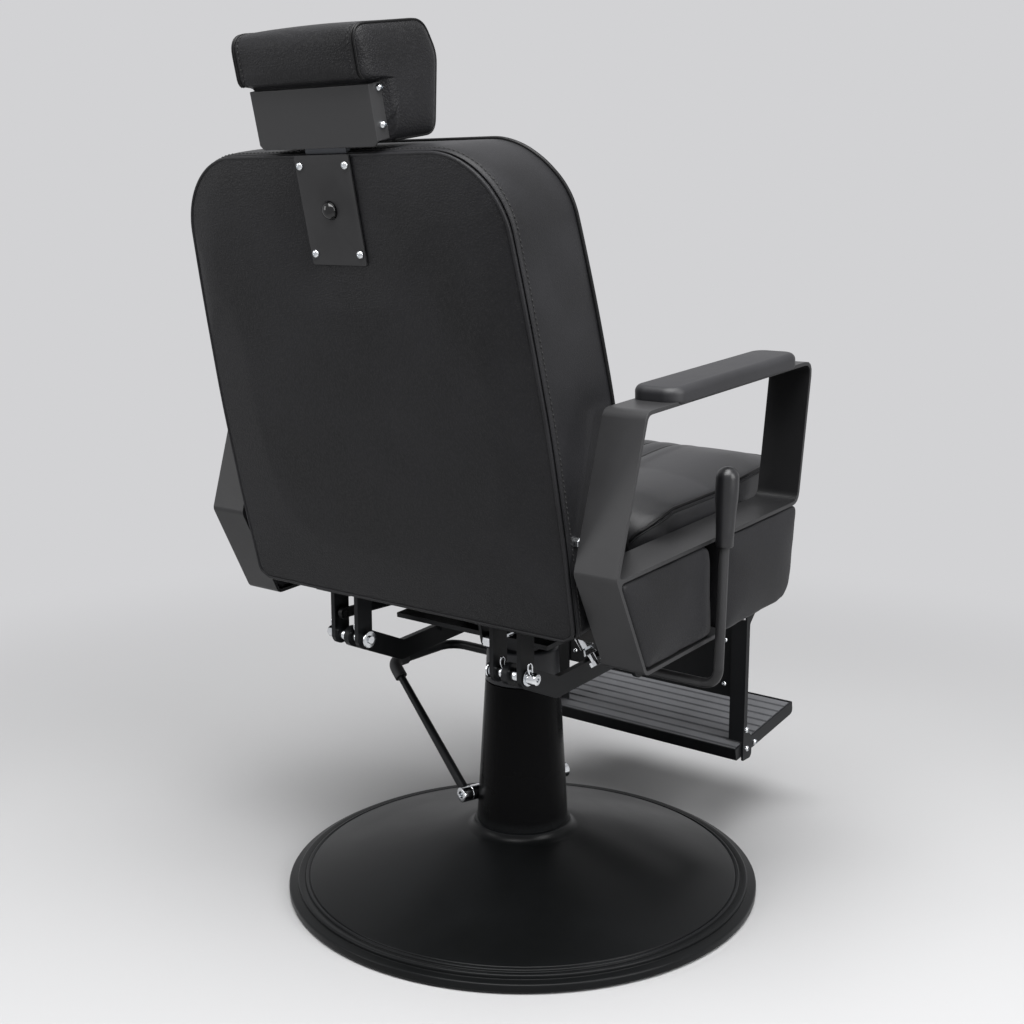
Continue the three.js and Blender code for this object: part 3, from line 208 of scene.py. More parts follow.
def blackPly(name, tones):
    # plywood sealed with black stain: long grain shows faintly through it, thin veneers on the edge
    made, tree, shader, place = newMaterial(name, Roughness=0.62)
    along = add(tree, "Mapping", {"Vector": place, "Scale": (30, 3, 700)}).outputs["Vector"]
    grain = noise(tree, along, 6, 6, Distortion=0.6)
    colour = tonesOf(tree, grain, (0.3, tones[0]), (0.5, tones[1]), (0.75, tones[2]))
    coated(tree, shader, colour, grain, 0.2, 0.0003)
    return made


# each finish's slot in the chair's list of materials, its maker and what the maker takes
recipes = {
    "pebbledLeatherette": ("black_leatherette", leatherette, ("0e0e0f", "171719", "212123"), 2.7, 0.7, 0.45),
    "smoothLeatherette": ("black_leatherette", leatherette, ("141415", "1f1f21", "28282a"), 1.9, 0.35, 0.45),
    # the seat's copy of the smooth leatherette, its colour lighter as painted sheen on the seat top
    "seatLeatherette": ("black_leatherette", leatherette, ("1a1a1c", "252527", "2e2e31"), 1.9, 0.35, 0.42,
                        0.45),
    "blackPiping": ("black_leatherette", leatherette, ("070708", "0c0c0d", "131314"), 1.2, 0.15, 0.4),
    # black powder coat, its colour lightened as painted light where the arm frames face the lamps
    "satinPowderCoat": ("black_powder_coat", powderCoat, ("161617", "202021", "323233"), 0.38),
    "domePowderCoat": ("black_paint", powderCoat, ("0b0c0c", "131415", "202123"), 0.34, 0, 0.12),
    "blackenedSteel": ("dark_steel", powderCoat, ("1b1c1e", "2a2b2e", "55575b"), 0.42, 0.7),
    # the same black powder coat, darkened as painted shade for the parts under the seat
    "undersidePaint": ("black_powder_coat", powderCoat, ("0b0b0c", "101112", "1f2022"), 0.38, 0, 0.14),
    # the base's black paint, darkened as painted shade where the column stands under the seat
    "columnPaint": ("black_paint", powderCoat, ("060607", "09090a", "161718"), 0.27, 0, 0.05),
    "greyCollarPaint": ("grey_collar", powderCoat, ("202124", "2a2b2e", "4a4c50"), 0.40),
    "brightChrome": ("chrome", chromePlate, ("c9cccf", "e4e6e8"), 0.07),
    "satinGrip": ("black_grip", mouldedPlastic, ("111113", "1a1a1c"), 0.34, 0.9, 0.25),
    "selfSkinnedUrethane": ("black_polyurethane", mouldedPlastic, ("17171a", "212124"), 0.50, 1.1, 0.35),
    "glossyAcetal": ("gloss_button", mouldedPlastic, ("050506", "0b0b0c"), 0.10, 1.2, 0.03),
    "mouldedRubber": ("rubber", mouldedPlastic, ("1f1f21", "2b2b2d"), 0.62, 1.0, 0.5),
    "greyTread": ("grey_tread", mouldedPlastic, ("57585b", "68696c"), 0.55, 1.2, 0.5),
    "sewingThread": ("black_leatherette", mouldedPlastic, ("050505", "0a0a0a"), 0.7, 0.5, 0.6),
    "stainedPly": ("plywood", blackPly, ("141313", "1c1a19", "272422")),
}
finishes = {name: make(name, *values) for name, (slot, make, *values) in recipes.items()}
print("materials:", len(finishes))


# ---- helpers that make, finish and mount a piece
def settle(name, bm, finish, body, sharpAbove=38):
    # close seams, face outwards, and shade smooth except across real edges
    bmesh.ops.remove_doubles(bm, verts=bm.verts[:], dist=1e-6)
    bmesh.ops.recalc_face_normals(bm, faces=bm.faces[:])
    mesh = bpy.data.meshes.new(name)
    bm.to_mesh(mesh)
    bm.free()
    mesh.polygons.foreach_set("use_smooth", [True] * len(mesh.polygons))
    mesh.set_sharp_from_angle(angle=math.radians(sharpAbove))
    return mount(bpy.data.objects.new(name, mesh), finish, body)


def mount(piece, finish, body):
    bpy.context.scene.collection.objects.link(piece)
    piece.data.materials.append(finishes[finish])
    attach(piece, body)
    return piece


def turned(name, profile, finish, body, place, steps=96, sharpAbove=38):
    # a [radius, height] profile spun about its frame's upright
    bm = bmesh.new()
    points = [bm.verts.new((r, 0, z)) for r, z in profile]
    edges = [bm.edges.new(pair) for pair in zip(points, points[1:])]
    bmesh.ops.spin(bm, geom=points + edges, cent=(0, 0, 0), axis=(0, 0, 1), angle=math.tau, steps=steps,
                   use_merge=True)
    bmesh.ops.remove_doubles(bm, verts=bm.verts[:], dist=1e-4)
    bmesh.ops.transform(bm, matrix=place, verts=bm.verts[:])
    return settle(name, bm, finish, body, sharpAbove)


def lofted(name, rings, finish, body, inFrame, looped=False, sharpAbove=180):
    # a skin over rings of equally many points, either capped or with its last ring joined to its first
    bm = bmesh.new()
    grid = [[bm.verts.new(inFrame @ Vector(p)) for p in ring] for ring in rings]
    for a, b in zip(grid, grid[1:] + (grid[:1] if looped else [])):
        for i, j in zip(range(len(a)), [*range(1, len(a)), 0]):
            bm.faces.new((a[i], a[j], b[j], b[i]))
    if not looped:
        for ring in (grid[0], grid[-1]):
            middle = bm.verts.new(sum((v.co for v in ring), Vector()) / len(ring))
            for i, j in zip(range(len(ring)), [*range(1, len(ring)), 0]):
                bm.faces.new((ring[i], ring[j], middle))
    return settle(name, bm, finish, body, sharpAbove)


def curved(start, corner, end, steps):
    shares = [k / steps for k in range(steps + 1)]
    return [start.lerp(corner, t).lerp(corner.lerp(end, t), t) for t in shares]


def roundedLoop(corners, steps=8):
    # a closed outline of [a, b, radius], as points
    route = []
    for i, (a, b, radius) in enumerate(corners):
        corner = Vector((a, b))
        before = Vector(corners[i - 1][:2]) - corner
        after = Vector(corners[(i + 1) % len(corners)][:2]) - corner
        reach = min(radius / math.tan(before.angle(after) / 2), 0.49 * before.length, 0.49 * after.length)
        start, end = corner + before.normalized() * reach, corner + after.normalized() * reach
        route += curved(start, corner, end, steps)
    return route


def facing(direction, at, inFrame):
    # a frame whose upright points along a direction
    turn = Vector(direction).to_track_quat("Z", "Y").to_matrix().to_4x4()
    return inFrame @ Matrix.Translation(at) @ turn


def rounded(corners, bend, steps=8):
    # a route with its inner corners rounded, each starting bend before the corner
    route = [Vector(corners[0])]
    for before, corner, after in zip(corners, corners[1:], corners[2:]):
        corner = Vector(corner)
        start = corner + (Vector(before) - corner).normalized() * bend
        end = corner + (Vector(after) - corner).normalized() * bend
        route += curved(start, corner, end, steps)
    return route + [Vector(corners[-1])]


def wire(name, route, radius, finish, body, inFrame, closed=False, taper=None):
    # a round bar or bead of piping along a route
    curve = bpy.data.curves.new(name, "CURVE")
    curve.dimensions = "3D"
    curve.bevel_depth = radius * 0.001
    curve.bevel_resolution = 6 if radius > 3 else 3
    curve.use_fill_caps = not closed
    spline = curve.splines.new("POLY")
    spline.points.add(len(route) - 1)
    for i, point in enumerate(route):
        spline.points[i].co = (*(inFrame @ Vector(point)), 1)
        if taper:
            spline.points[i].radius = 1 + (taper - 1) * i / (len(route) - 1)
    spline.use_cyclic_u = closed
    spline.use_smooth = True
    return mount(bpy.data.objects.new(name, curve), finish, body)


def dress(node, finish, edge=0.7, segments=2, bevelAbove=30):
    # the CAD part itself with its sharp edges eased, as folded and painted metal has them
    bm = bmesh.new()
    bm.from_mesh(nodes[node].data)
    bmesh.ops.remove_doubles(bm, verts=bm.verts[:], dist=1e-6)
    bmesh.ops.dissolve_limit(bm, angle_limit=math.radians(1), verts=bm.verts[:], edges=bm.edges[:])
    sharp = [e for e in bm.edges if e.is_manifold and e.calc_face_angle(0) > math.radians(bevelAbove)]
    bmesh.ops.bevel(bm, geom=sharp, offset=edge * 0.001, affect="EDGES", segments=segments, profile=0.5,
                    material=-1, clamp_overlap=True)
    piece = settle("eased_" + node, bm, finish, bodyOf[node], 60)
    weighted = piece.modifiers.new("faceWeight", "WEIGHTED_NORMAL")
    weighted.keep_sharp = True
    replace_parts(piece, node)
    return piece


def paint(finish, *names):
    # a CAD node kept as it is, with its real finish
    for name in names:
        for slot in nodes[name].material_slots:
            slot.material = finishes[finish]


def screw(name, at, direction, radius, body, inFrame, height=0.6):
    # a button-head screw with a socket
    r = radius
    turned(name, [(0, 0.35 * r * height), (0.38 * r, 0.35 * r * height), (0.42 * r, 0.95 * r * height),
                  (0.62 * r, 0.86 * r * height), (0.84 * r, 0.6 * r * height), (0.97 * r, 0.25 * r * height),
                  (r, 0), (0, 0)],
           "brightChrome", body, facing(direction, at, inFrame), 24)


# ---- soft goods
def cushionBlock(name, columns, rows, layers, place, inFrame, finish, body):
    # a closed block cut into columns, rows and layers, each point then put where place says
    bm = bmesh.new()
    bmesh.ops.create_grid(bm, x_segments=columns, y_segments=rows, size=0.5)
    made = bmesh.ops.extrude_face_region(bm, geom=bm.faces[:])
    bmesh.ops.translate(bm, verts=[g for g in made["geom"] if isinstance(g, bmesh.types.BMVert)],
                        vec=(0, 0, 1))
    uprights = [e for e in bm.edges if abs(e.verts[0].co.z - e.verts[1].co.z) > 0.5]
    bmesh.ops.subdivide_edges(bm, edges=uprights, cuts=layers - 1, use_grid_fill=True)
    for vert in bm.verts:
        vert.co = inFrame @ Vector(place(vert.co.x + 0.5, vert.co.y + 0.5, vert.co.z))
    return settle(name, bm, finish, body, 180)


def remeshed(name, node, voxel, smoothing, finish, body):
    # the CAD solid's space skinned again in even quads
    bm = bmesh.new()
    bm.from_mesh(nodes[node].data)
    piece = settle(name, bm, finish, body, 180)
    remesh = piece.modifiers.new("evenSkin", "REMESH")
    remesh.mode = "VOXEL"
    remesh.voxel_size = voxel * 0.001
    soften = piece.modifiers.new("soften", "SMOOTH")
    soften.iterations = smoothing
    bake(piece)
    return piece


def bake(piece):
    # apply what the modifiers show
    graph = bpy.context.evaluated_depsgraph_get()
    made = bpy.data.meshes.new_from_object(piece.evaluated_get(graph), depsgraph=graph)
    old = piece.data
    piece.modifiers.clear()
    piece.data = made
    bpy.data.meshes.remove(old)
    made.polygons.foreach_set("use_smooth", [True] * len(made.polygons))


def swell(piece, pressure, cap, held, inFrame, stiffness=15):
    # blow the skin up against its sewn lines, for 20 frames of cloth
    scene = bpy.context.scene
    before = [v.co.copy() for v in piece.data.vertices]
    toFrame = inFrame.inverted()
    pinned = piece.vertex_groups.new(name="sewn")
    for i, co in enumerate(before):
        pinned.add([i], held(*(toFrame @ co)), "REPLACE")
    cloth = piece.modifiers.new("swell", "CLOTH")
    cloth.settings.use_pressure = True
    cloth.settings.uniform_pressure_force = pressure
    cloth.settings.effector_weights.gravity = 0
    cloth.settings.vertex_group_mass = "sewn"
    cloth.settings.tension_stiffness = stiffness
    cloth.settings.compression_stiffness = stiffness
    cloth.point_cache.frame_start = 1
    cloth.point_cache.frame_end = 20
    for number in range(1, 21):
        scene.frame_set(number)
    graph = bpy.context.evaluated_depsgraph_get()
    after = [v.co.copy() for v in piece.evaluated_get(graph).data.vertices]
    piece.modifiers.remove(cloth)
    piece.vertex_groups.clear()
    for vert, old, new in zip(piece.data.vertices, before, after):
        step = new - old
        most = cap * 0.001
        vert.co = old + (step if step.length < most else step.normalized() * most)
    scene.frame_set(1)


def subdivided(piece, levels=1):
    finer = piece.modifiers.new("finer", "SUBSURF")
    finer.levels = levels
    finer.render_levels = levels
    bake(piece)


def carved(piece, room, inFrame):
    # take a box out of a skin
    cutter = bmesh.new()
    bmesh.ops.create_cube(cutter, size=1)
    for vert in cutter.verts:
        vert.co = inFrame @ Vector((
            room.get("centre", 0) + 2 * vert.co.x * room["halfWidth"],
            room["front"] if vert.co.y < 0 else room["rear"],
            room["bottom"] if vert.co.z < 0 else room["top"],
        ))
    mesh = bpy.data.meshes.new("room")
    cutter.to_mesh(mesh)
    cutter.free()
    block = bpy.data.objects.new("room", mesh)
    bpy.context.scene.collection.objects.link(block)
    carve = piece.modifiers.new("room", "BOOLEAN")
    carve.operation = "DIFFERENCE"
    carve.object = block
    carve.solver = "EXACT"
    bake(piece)
    bpy.data.objects.remove(block)


def evenly(route, step, closed=False):
    # the route again, with its points a step apart
    points = [Vector(p) for p in route]
    if closed:
        points.append(points[0].copy())
    lengths = [(b - a).length for a, b in zip(points, points[1:])]
    total = sum(lengths)
    count = max(2, round(total / step))
    result, i, passed = [], 0, 0.0
    for k in range(count if closed else count + 1):
        target = total * k / count
        while i < len(lengths) - 1 and passed + lengths[i] < target:
            passed += lengths[i]
            i += 1
        t = (target - passed) / max(lengths[i], 1e-9)
        result.append(points[i].lerp(points[i + 1], min(t, 1)))
    return result


def skinOf(piece):
    return BVHTree.FromObject(piece, bpy.context.evaluated_depsgraph_get())


def hugging(skin, route, lift, inFrame):
    # the route laid on a skin, lifted a little off it
    toFrame = inFrame.inverted()
    result = []
    for point in route:
        spot, normal, _, _ = skin.find_nearest(inFrame @ Vector(point))
        result.append(toFrame @ (spot + normal * lift * 0.001))
    return result


def stitches(name, route, skin, body, inFrame, length=3.4, gap=1.4, thread=0.45, closed=False, lift=0.1):
    # a row of thread, each stitch a short bead lying along the seam
    bm = bmesh.new()
    spots = hugging(skin, evenly(route, (length + gap) / 2, closed), lift, inFrame)
    for a, b in zip(spots[::2], spots[1::2]):
        along = (b - a).normalized()
        turn = along.to_track_quat("X", "Z").to_matrix().to_4x4()
        size = Matrix.Diagonal((length / 2, thread, thread, 1))
        bmesh.ops.create_icosphere(bm, subdivisions=1, radius=1,
                                   matrix=inFrame @ Matrix.Translation((a + b) / 2) @ turn @ size)
    return settle(name, bm, "sewingThread", body, 180)


print("helpers ready")

# ---- back: rear panel, boxed cushion, piping and stitching
back = {
    "halfWidth": 247,
    "bottom": 73,
    "top": 601,
    "topCorner": 84,
    "bottomCorner": 14,
    "sideBow": ((0, 1), (0.2, 1.014), (0.45, 1.012), (0.69, 0.984), (0.87, 0.953), (1, 0.93)),
    "frontTaper": 10,
    "stitchLine": 18.4,
    "rearFace": 27,
    "panelThickness": 22,
    "depth": 124,
    "depths": ((0, 0.96), (0.04, 1), (0.15, 1.04), (0.35, 1.08), (0.6, 1.06), (0.85, 1.02), (0.95, 0.98),
               (1, 0.9)),
    "crown": 12,
    "channelPitch": 31.4,
    "channels": 9,
    "channelDepth": 5,
    "plateHalfWidth": 40,
    "plateBottom": 484,
}


def readOff(table, at):
    # a smooth value between a table's [position, value] pairs
    for (p0, v0), (p1, v1) in zip(table, table[1:]):
        if at <= p1 or (p1, v1) == table[-1]:
            t = min(max((at - p0) / (p1 - p0), 0), 1)
            return v0 + (v1 - v0) * t
    return table[-1][1]


def smoothTable(table, at, reach=0.06):
    return sum(readOff(table, min(max(at + d * reach, 0), 1)) for d in (-1, -0.5, 0, 0.5, 1)) / 5


def clamped(value):
    return min(max(value, 0), 1)


def cornerCut(past, radius):
    past = min(max(past, 0), radius)
    return radius - math.sqrt(radius ** 2 - past ** 2)


def backOutline(u, v, inset=0):
    # a point of the back's plan: v runs up it, u across it, and rows crowd into the top corners
    low, high, corner = back["bottom"] + inset, back["top"] - inset, back["topCorner"]
    shoulder = 0.72
    z = low + (high - corner - low) * v / shoulder
    if v > shoulder:
        z = high - corner + corner * math.sin(math.pi / 2 * (v - shoulder) / (1 - shoulder))
    bow = smoothTable(back["sideBow"], (z - back["bottom"]) / (back["top"] - back["bottom"]))
    half = (back["halfWidth"] - inset) * bow
    half -= cornerCut(z - (high - corner), corner)
    half -= cornerCut((low + back["bottomCorner"]) - z, back["bottomCorner"])
    return (2 * u - 1) * half, z


def tapered(x, z, w):
    # the back narrows a little from its rear seam to its front one
    k = back["frontTaper"] * w
    share = 1 - k / (back["top"] - back["bottom"])
    return x * (1 - k / back["halfWidth"]), back["bottom"] + (z - back["bottom"]) * share


def frontEdge(z):
    t = clamped((z - back["bottom"]) / (back["top"] - back["bottom"]))
    return back["rearFace"] - smoothTable(back["depths"], t) * back["depth"]


def quiltedHalf(pad):
    return pad["channelPitch"] * pad["channels"] / 2


def channelPuff(x, pad):
    return math.sqrt(abs(math.cos(math.pi * x / pad["channelPitch"]))) if abs(x) < quiltedHalf(pad) else 1


def onSeam(x, pad):
    place = (x + quiltedHalf(pad)) / pad["channelPitch"]
    return abs(x) < quiltedHalf(pad) + 1 and abs(place - round(place)) < 0.05


def channelStations(half, pitch, channels, each, beside):
    # positions across a quilted cushion: rows of points that fall on every seam
    quilted = pitch * channels / 2
    stations = [-half + (half - quilted) * i / beside for i in range(beside)]
    stations += [-quilted + pitch * i / each for i in range(channels * each)]
    stations += [quilted + (half - quilted) * i / beside for i in range(beside + 1)]
    return stations


def panelPlace(u, v, w):
    x, z = backOutline(u, v, 1.5 * w)
    return x, back["rearFace"] - back["panelThickness"] * (1 - w) - 1.5 * w, z


panel = cushionBlock("upholstered_rear_panel", 72, 76, 4, panelPlace, backFrame, "pebbledLeatherette",
                     bodyOf["back_panel"])


def panelHeld(x, y, z):
    # sewn round its edge, and clamped under the headrest plate
    front = y < back["rearFace"] - 6
    plate = abs(x) < back["plateHalfWidth"] - 3 and z > back["plateBottom"] + 3
    u, v = backOutline(1, 0.5)[0] - abs(x), min(z - back["bottom"], back["top"] - z)
    return 1.0 if front or plate or min(u, v) < 2 else 0.0


swell(panel, 5, 7.5, panelHeld, backFrame)
subdivided(panel)
for room in ({"halfWidth": 30.5, "front": 13.5, "rear": 21, "bottom": 415, "top": 611},
             {"halfWidth": 30.5, "front": 13.5, "rear": 39, "bottom": 487, "top": 611}):
    carved(panel, room, backFrame)
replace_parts(panel, "back_panel")

backStations = channelStations(1, back["channelPitch"] / back["halfWidth"], back["channels"], 6, 7)
cushionRear = back["rearFace"] - back["panelThickness"] - 0.3


def backCushionPlace(u, v, w):
    across = backStations[round(u * (len(backStations) - 1))]
    x, z = tapered(*backOutline((across + 1) / 2, v), w)
    return x, cushionRear + (frontEdge(z) - cushionRear) * w, z


def backCrown(x, z):
    across = max(1 - (x / (back["halfWidth"] - back["frontTaper"])) ** 2, 0)
    t = clamped((z - back["bottom"]) / (back["top"] - back["frontTaper"] - back["bottom"]))
    puff = back["channelDepth"] * (channelPuff(x, back) - 0.4) * math.sqrt(across)
    return (back["crown"] * across + puff) * math.sin(math.pi * t) ** 0.6


backCushion = cushionBlock("channelled_back_cushion", len(backStations) - 1, 60, 12, backCushionPlace,
                           backFrame, "smoothLeatherette", bodyOf["back_cushion"])
toBack = backFrame.inverted()
for vert in backCushion.data.vertices:
    spot = toBack @ vert.co
    if spot.y < cushionRear - 0.8 * back["depth"] + 10 and spot.y < -60:
        if abs(spot.y - frontEdge(spot.z)) < 0.5:
            spot.y -= backCrown(spot.x, spot.z)
            vert.co = backFrame @ spot


def backCushionHeld(x, y, z):
    deep = frontEdge(z)
    rearSeam = y > cushionRear - 1
    frontSeam = abs(y - deep) < 1 and backCrown(x, z) < 0.8
    return 1.0 if rearSeam or frontSeam or (onSeam(x, back) and y < deep + 1) else 0.0


swell(backCushion, 4, 7, backCushionHeld, backFrame)
subdivided(backCushion)
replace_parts(backCushion, "back_cushion")


rimPlan = [(1, i / 90) for i in range(91)] + [(1 - i / 50, 1) for i in range(1, 50)]
rimPlan += [(0, 1 - i / 90) for i in range(91)] + [(i / 50, 0) for i in range(1, 50)]


def rimLoop(out, share):
    # once round the back, out from its outline, share of the way from the stitching to the front seam
    loop = []
    for u, v in rimPlan:
        x, z = backOutline(u, v, -out if v > 0 else -min(out, 0.1))
        y = back["stitchLine"] + 2 + (frontEdge(z) - back["stitchLine"] - 1) * share
        x, z = tapered(x, z, clamped((cushionRear - y) / (cushionRear - frontEdge(z))))
        loop.append(Vector((x, y, z)))
    return loop


bandRows = [0, 0.008, 0.016, 0.024, 0.034, 0.05, 0.08, *[0.12 + 0.88 * i / 12 for i in range(13)]]
outside = []
for share in bandRows:
    depth = share * (back["depth"] - 8)
    groove = 1.1 * math.exp(-((depth - 2) / 1.3) ** 2)
    outside.append(rimLoop(0.9 + 1.6 * math.sin(math.pi * share) - groove, share))
band = lofted("boxing_band", outside + [rimLoop(-0.6, 1), rimLoop(-0.6, 0.5), rimLoop(-0.6, 0)],
              "smoothLeatherette", "back", backFrame, True)
bandSkin = skinOf(band)
rearBead = [Vector((p.x, back["rearFace"] - 2.9, p.z)) for p in rimLoop(-1.6, 0)]
wire("rear_edge_bead", evenly(rearBead, 4, True), 2.1, "smoothLeatherette", "back", backFrame, True)
wire("front_edge_piping", evenly(rimLoop(1.4, 0.98), 4, True), 2.6, "blackPiping", "back", backFrame, True)
stitchRoute = [Vector((p.x, back["stitchLine"] - 5, p.z)) for p in rimLoop(1, 0.045)]
wire("band_seam", hugging(bandSkin, evenly(stitchRoute, 5, True), -0.1, backFrame), 0.45, "sewingThread",
     "back", backFrame, True)
stitches("band_stitching", stitchRoute, bandSkin, "back", backFrame, 4.2, 1.8, 1.0, closed=True)
print("back upholstered")

# ---- seat cushion
seatPad = {
    "halfWidth": 249,
    "front": -240,
    "rear": 90,
    "bottom": 23.3,
    "frontCorner": 36,
    "rearCorner": 45,
    "seam": ((-240, 150), (-178, 151), (-66, 144), (27, 145), (62, 137), (80, 125), (90, 106)),
    "crown": 13,
    "channelPitch": 31.4,
    "channels": 9,
    "channelDepth": 5,
}
seatStations = channelStations(1, seatPad["channelPitch"] / seatPad["halfWidth"], seatPad["channels"], 6, 7)


def seatOutline(across, v):
    x = seatPad["halfWidth"] * across
    front = seatPad["front"] + cornerCut(abs(x) - (seatPad["halfWidth"] - seatPad["frontCorner"]),
                                         seatPad["frontCorner"])
    rear = seatPad["rear"] - cornerCut(abs(x) - (seatPad["halfWidth"] - seatPad["rearCorner"]),
                                       seatPad["rearCorner"])
    return x, front + (rear - front) * v


def seatTop(x, y):
    across = max(1 - (x / seatPad["halfWidth"]) ** 2, 0)
    along = (y - (seatPad["front"] + seatPad["rear"]) / 2) / ((seatPad["rear"] - seatPad["front"]) / 2)
    puff = seatPad["channelDepth"] * (channelPuff(x, seatPad) - 0.4)
    edge = readOff(seatPad["seam"], y)
    fullness = max(1 - along ** 4, 0) * min(1, 3 * across)
    return edge + fullness * (seatPad["crown"] * (0.5 + 0.5 * across) + puff + 4)


def seatPlace(u, v, w):
    across = seatStations[round(u * (len(seatStations) - 1))]
    x, y = seatOutline(across, v)
    return x, y, seatPad["bottom"] + (seatTop(x, y) - seatPad["bottom"]) * w


seatCushion = cushionBlock("channelled_seat_cushion", len(seatStations) - 1, 44, 12, seatPlace, seatFrame,
                           "seatLeatherette", bodyOf["seat_cushion"])


def seatHeld(x, y, z):
    top = seatTop(x, y)
    edge = readOff(seatPad["seam"], y)
    onEdge = abs(z - edge) < 1.5 and top - edge < 1
    return 1.0 if z < seatPad["bottom"] + 20 or onEdge or (onSeam(x, seatPad) and z > top - 1) else 0.0


swell(seatCushion, 4, 6, seatHeld, seatFrame)
subdivided(seatCushion)
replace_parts(seatCushion, "seat_cushion")


def seatLoop(drop, count=60):
    loop = [seatOutline(1, i / count) for i in range(count + 1)]
    loop += [seatOutline(1 - 2 * i / count, 1) for i in range(1, count)]
    loop += [seatOutline(-1, 1 - i / count) for i in range(count + 1)]
    loop += [seatOutline(-1 + 2 * i / count, 0) for i in range(1, count)]
    return [Vector((x, y, readOff(seatPad["seam"], y) - drop)) for x, y in loop]


seatSkin = skinOf(seatCushion)
wire("seat_edge_piping", hugging(seatSkin, evenly(seatLoop(0), 4, True), 0.6, seatFrame), 2.1, "blackPiping",
     "seat", seatFrame, True)
wire("seat_edge_welt", hugging(seatSkin, evenly(seatLoop(5.2), 4, True), 0.2, seatFrame), 1.5,
     "smoothLeatherette", "seat", seatFrame, True)
for i in range(1, seatPad["channels"]):
    x = (i - seatPad["channels"] / 2) * seatPad["channelPitch"]
    route = hugging(seatSkin, [(x, y, seatTop(x, y)) for y in range(-222, 74, 6)], 0.1, seatFrame)
    wire("seat_channel_seam_" + str(i), route, 0.9, "sewingThread", "seat", seatFrame)
print("seat upholstered")

# ---- side pads in the arm frames
sidePad = {"voxel": 4, "smoothing": 6, "outer": 312.9}
for side, sign in sides.items():
    for end in ("rear", "front"):
        node = "side_pad_" + end + "_" + side
        pad = remeshed("stuffed_" + node, node, sidePad["voxel"], sidePad["smoothing"], "smoothLeatherette",
                       bodyOf[node])

        def padHeld(x, y, z):
            return 1.0 if abs(x) < sidePad["outer"] - 1 else 0.0

        swell(pad, 4, 4.5, padHeld, seatFrame)
        subdivided(pad)
        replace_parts(pad, node)
print("side pads stuffed")

# ---- arm pads: self-skinned foam on a steel strip
armPad = {"inner": 254.2, "outer": 316.4, "front": -154, "rear": 122, "bottom": 285.6, "top": 304.6,
          "corner": 20, "edge": 8}
for side, sign in sides.items():
    bm = bmesh.new()
    bmesh.ops.create_cube(bm, size=1)
    for vert in bm.verts:
        vert.co.x = sign * (armPad["outer"] if vert.co.x > 0 else armPad["inner"])
        vert.co.y = armPad["rear"] if vert.co.y > 0 else armPad["front"]
        vert.co.z = armPad["top"] if vert.co.z > 0 else armPad["bottom"]
    bmesh.ops.recalc_face_normals(bm, faces=bm.faces)
    upright = [e for e in bm.edges if abs(e.verts[0].co.z - e.verts[1].co.z) > 1]
    bmesh.ops.bevel(bm, geom=upright, offset=armPad["corner"], affect="EDGES", segments=14, profile=0.5,
                    material=-1)
    for choose, offset in ((max, armPad["edge"]), (min, 4)):
        flat = choose(bm.faces, key=lambda f: f.calc_center_median().z)
        bmesh.ops.bevel(bm, geom=flat.edges[:], offset=offset, affect="EDGES", segments=8, profile=0.5,
                        material=-1)
    bmesh.ops.transform(bm, matrix=seatFrame, verts=bm.verts[:])
    pad = settle("moulded_arm_pad_" + side, bm, "selfSkinnedUrethane", "seat", 50)
    strip = {"centre": sign * 285.2, "halfWidth": 28, "front": -260, "rear": 240, "bottom": 250, "top": 289.2}
    carved(pad, strip, seatFrame)
    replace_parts(pad, "arm_pad_" + side)
print("arm pads moulded")

# ---- headrest cushion
headrest = {"halfWidth": 94, "cap": 669.5, "tabInside": 83, "tabFront": 11.4,
            "seam": 8.4, "stitching": 14.4,
            "outline": ((-76.5, 684, 34), (-55.5, 605, 16), (27.7, 611, 5), (27.7, 672.5, 3), (43, 677.5, 9),
                        (43, 729.5, 18), (-63, 720.5, 24))}
headLoop = evenly([(0, a, b) for a, b in roundedLoop(headrest["outline"])], 2.6, True)
headMiddle = sum(headLoop, Vector()) / len(headLoop)


def headRing(x, inset):
    scale = 1 - inset / 58
    return [Vector((x, *(headMiddle + (p - headMiddle) * scale).yz)) for p in headLoop]


w = headrest["halfWidth"]
capRows = [(w + 1.2, 46), (w + 1.6, 36), (w + 1.4, 26), (w + 0.8, 17), (w - 0.6, 9.5), (w - 2.6, 5),
           (w - 5, 2), (w - 7, 0.7), (w - 8.4, 1.3), (w - 9.8, 0.5), (w - 13, 0.2), (w - 14.4, 0.7),
           (w - 15.8, 0.2), (w - 19, 0)]
rows = [(-x, inset) for x, inset in capRows]
rows += [(x, 0.8 * (x / w) ** 2 - 0.8) for x in range(-68, 70, 8)]
rows += capRows[::-1]
headCushion = lofted("stuffed_headrest", [headRing(x, inset) for x, inset in rows], "pebbledLeatherette",
                     bodyOf["headrest_cushion"], backFrame)


def headHeld(x, y, z):
    # sewn at the end seams, and clamped behind by the bracket
    seam = any(abs(abs(x) - (w - headrest[line])) < 0.8 for line in ("seam", "stitching"))
    return 1.0 if seam or abs(x) > w - 5 or (y > 20 and z < headrest["cap"] + 5) else 0.0


swell(headCushion, 2.5, 2.2, headHeld, backFrame, 30)
headSkin = skinOf(headCushion)
for side, sign in sides.items():
    seamAt = sign * (w - headrest["seam"])
    shown = [p for p in headRing(seamAt, 0) if p.z > headrest["cap"] + 6 or p.y < headrest["tabFront"] - 4]
    seam = [Vector((seamAt, p.y, p.z)) for p in shown]
    first = next(i for i, (a, b) in enumerate(zip(seam, seam[1:])) if (a - b).length > 8) + 1
    seam = seam[first:] + seam[:first]
    for part, along in (("bead", 0), ("welt", 3.2)):
        route = hugging(headSkin, [p + Vector((sign * along, 0, 0)) for p in seam], 0.5, backFrame)
        wire("headrest_end_" + part + "_" + side, evenly(route, 3), 1.3, "blackPiping", "headrest", backFrame)
    stitched = [Vector((sign * (w - headrest["stitching"]), p.y, p.z)) for p in seam]
    stitches("headrest_stitching_" + side, stitched, headSkin, "headrest", backFrame, 4.2, 1.8, 1.0)
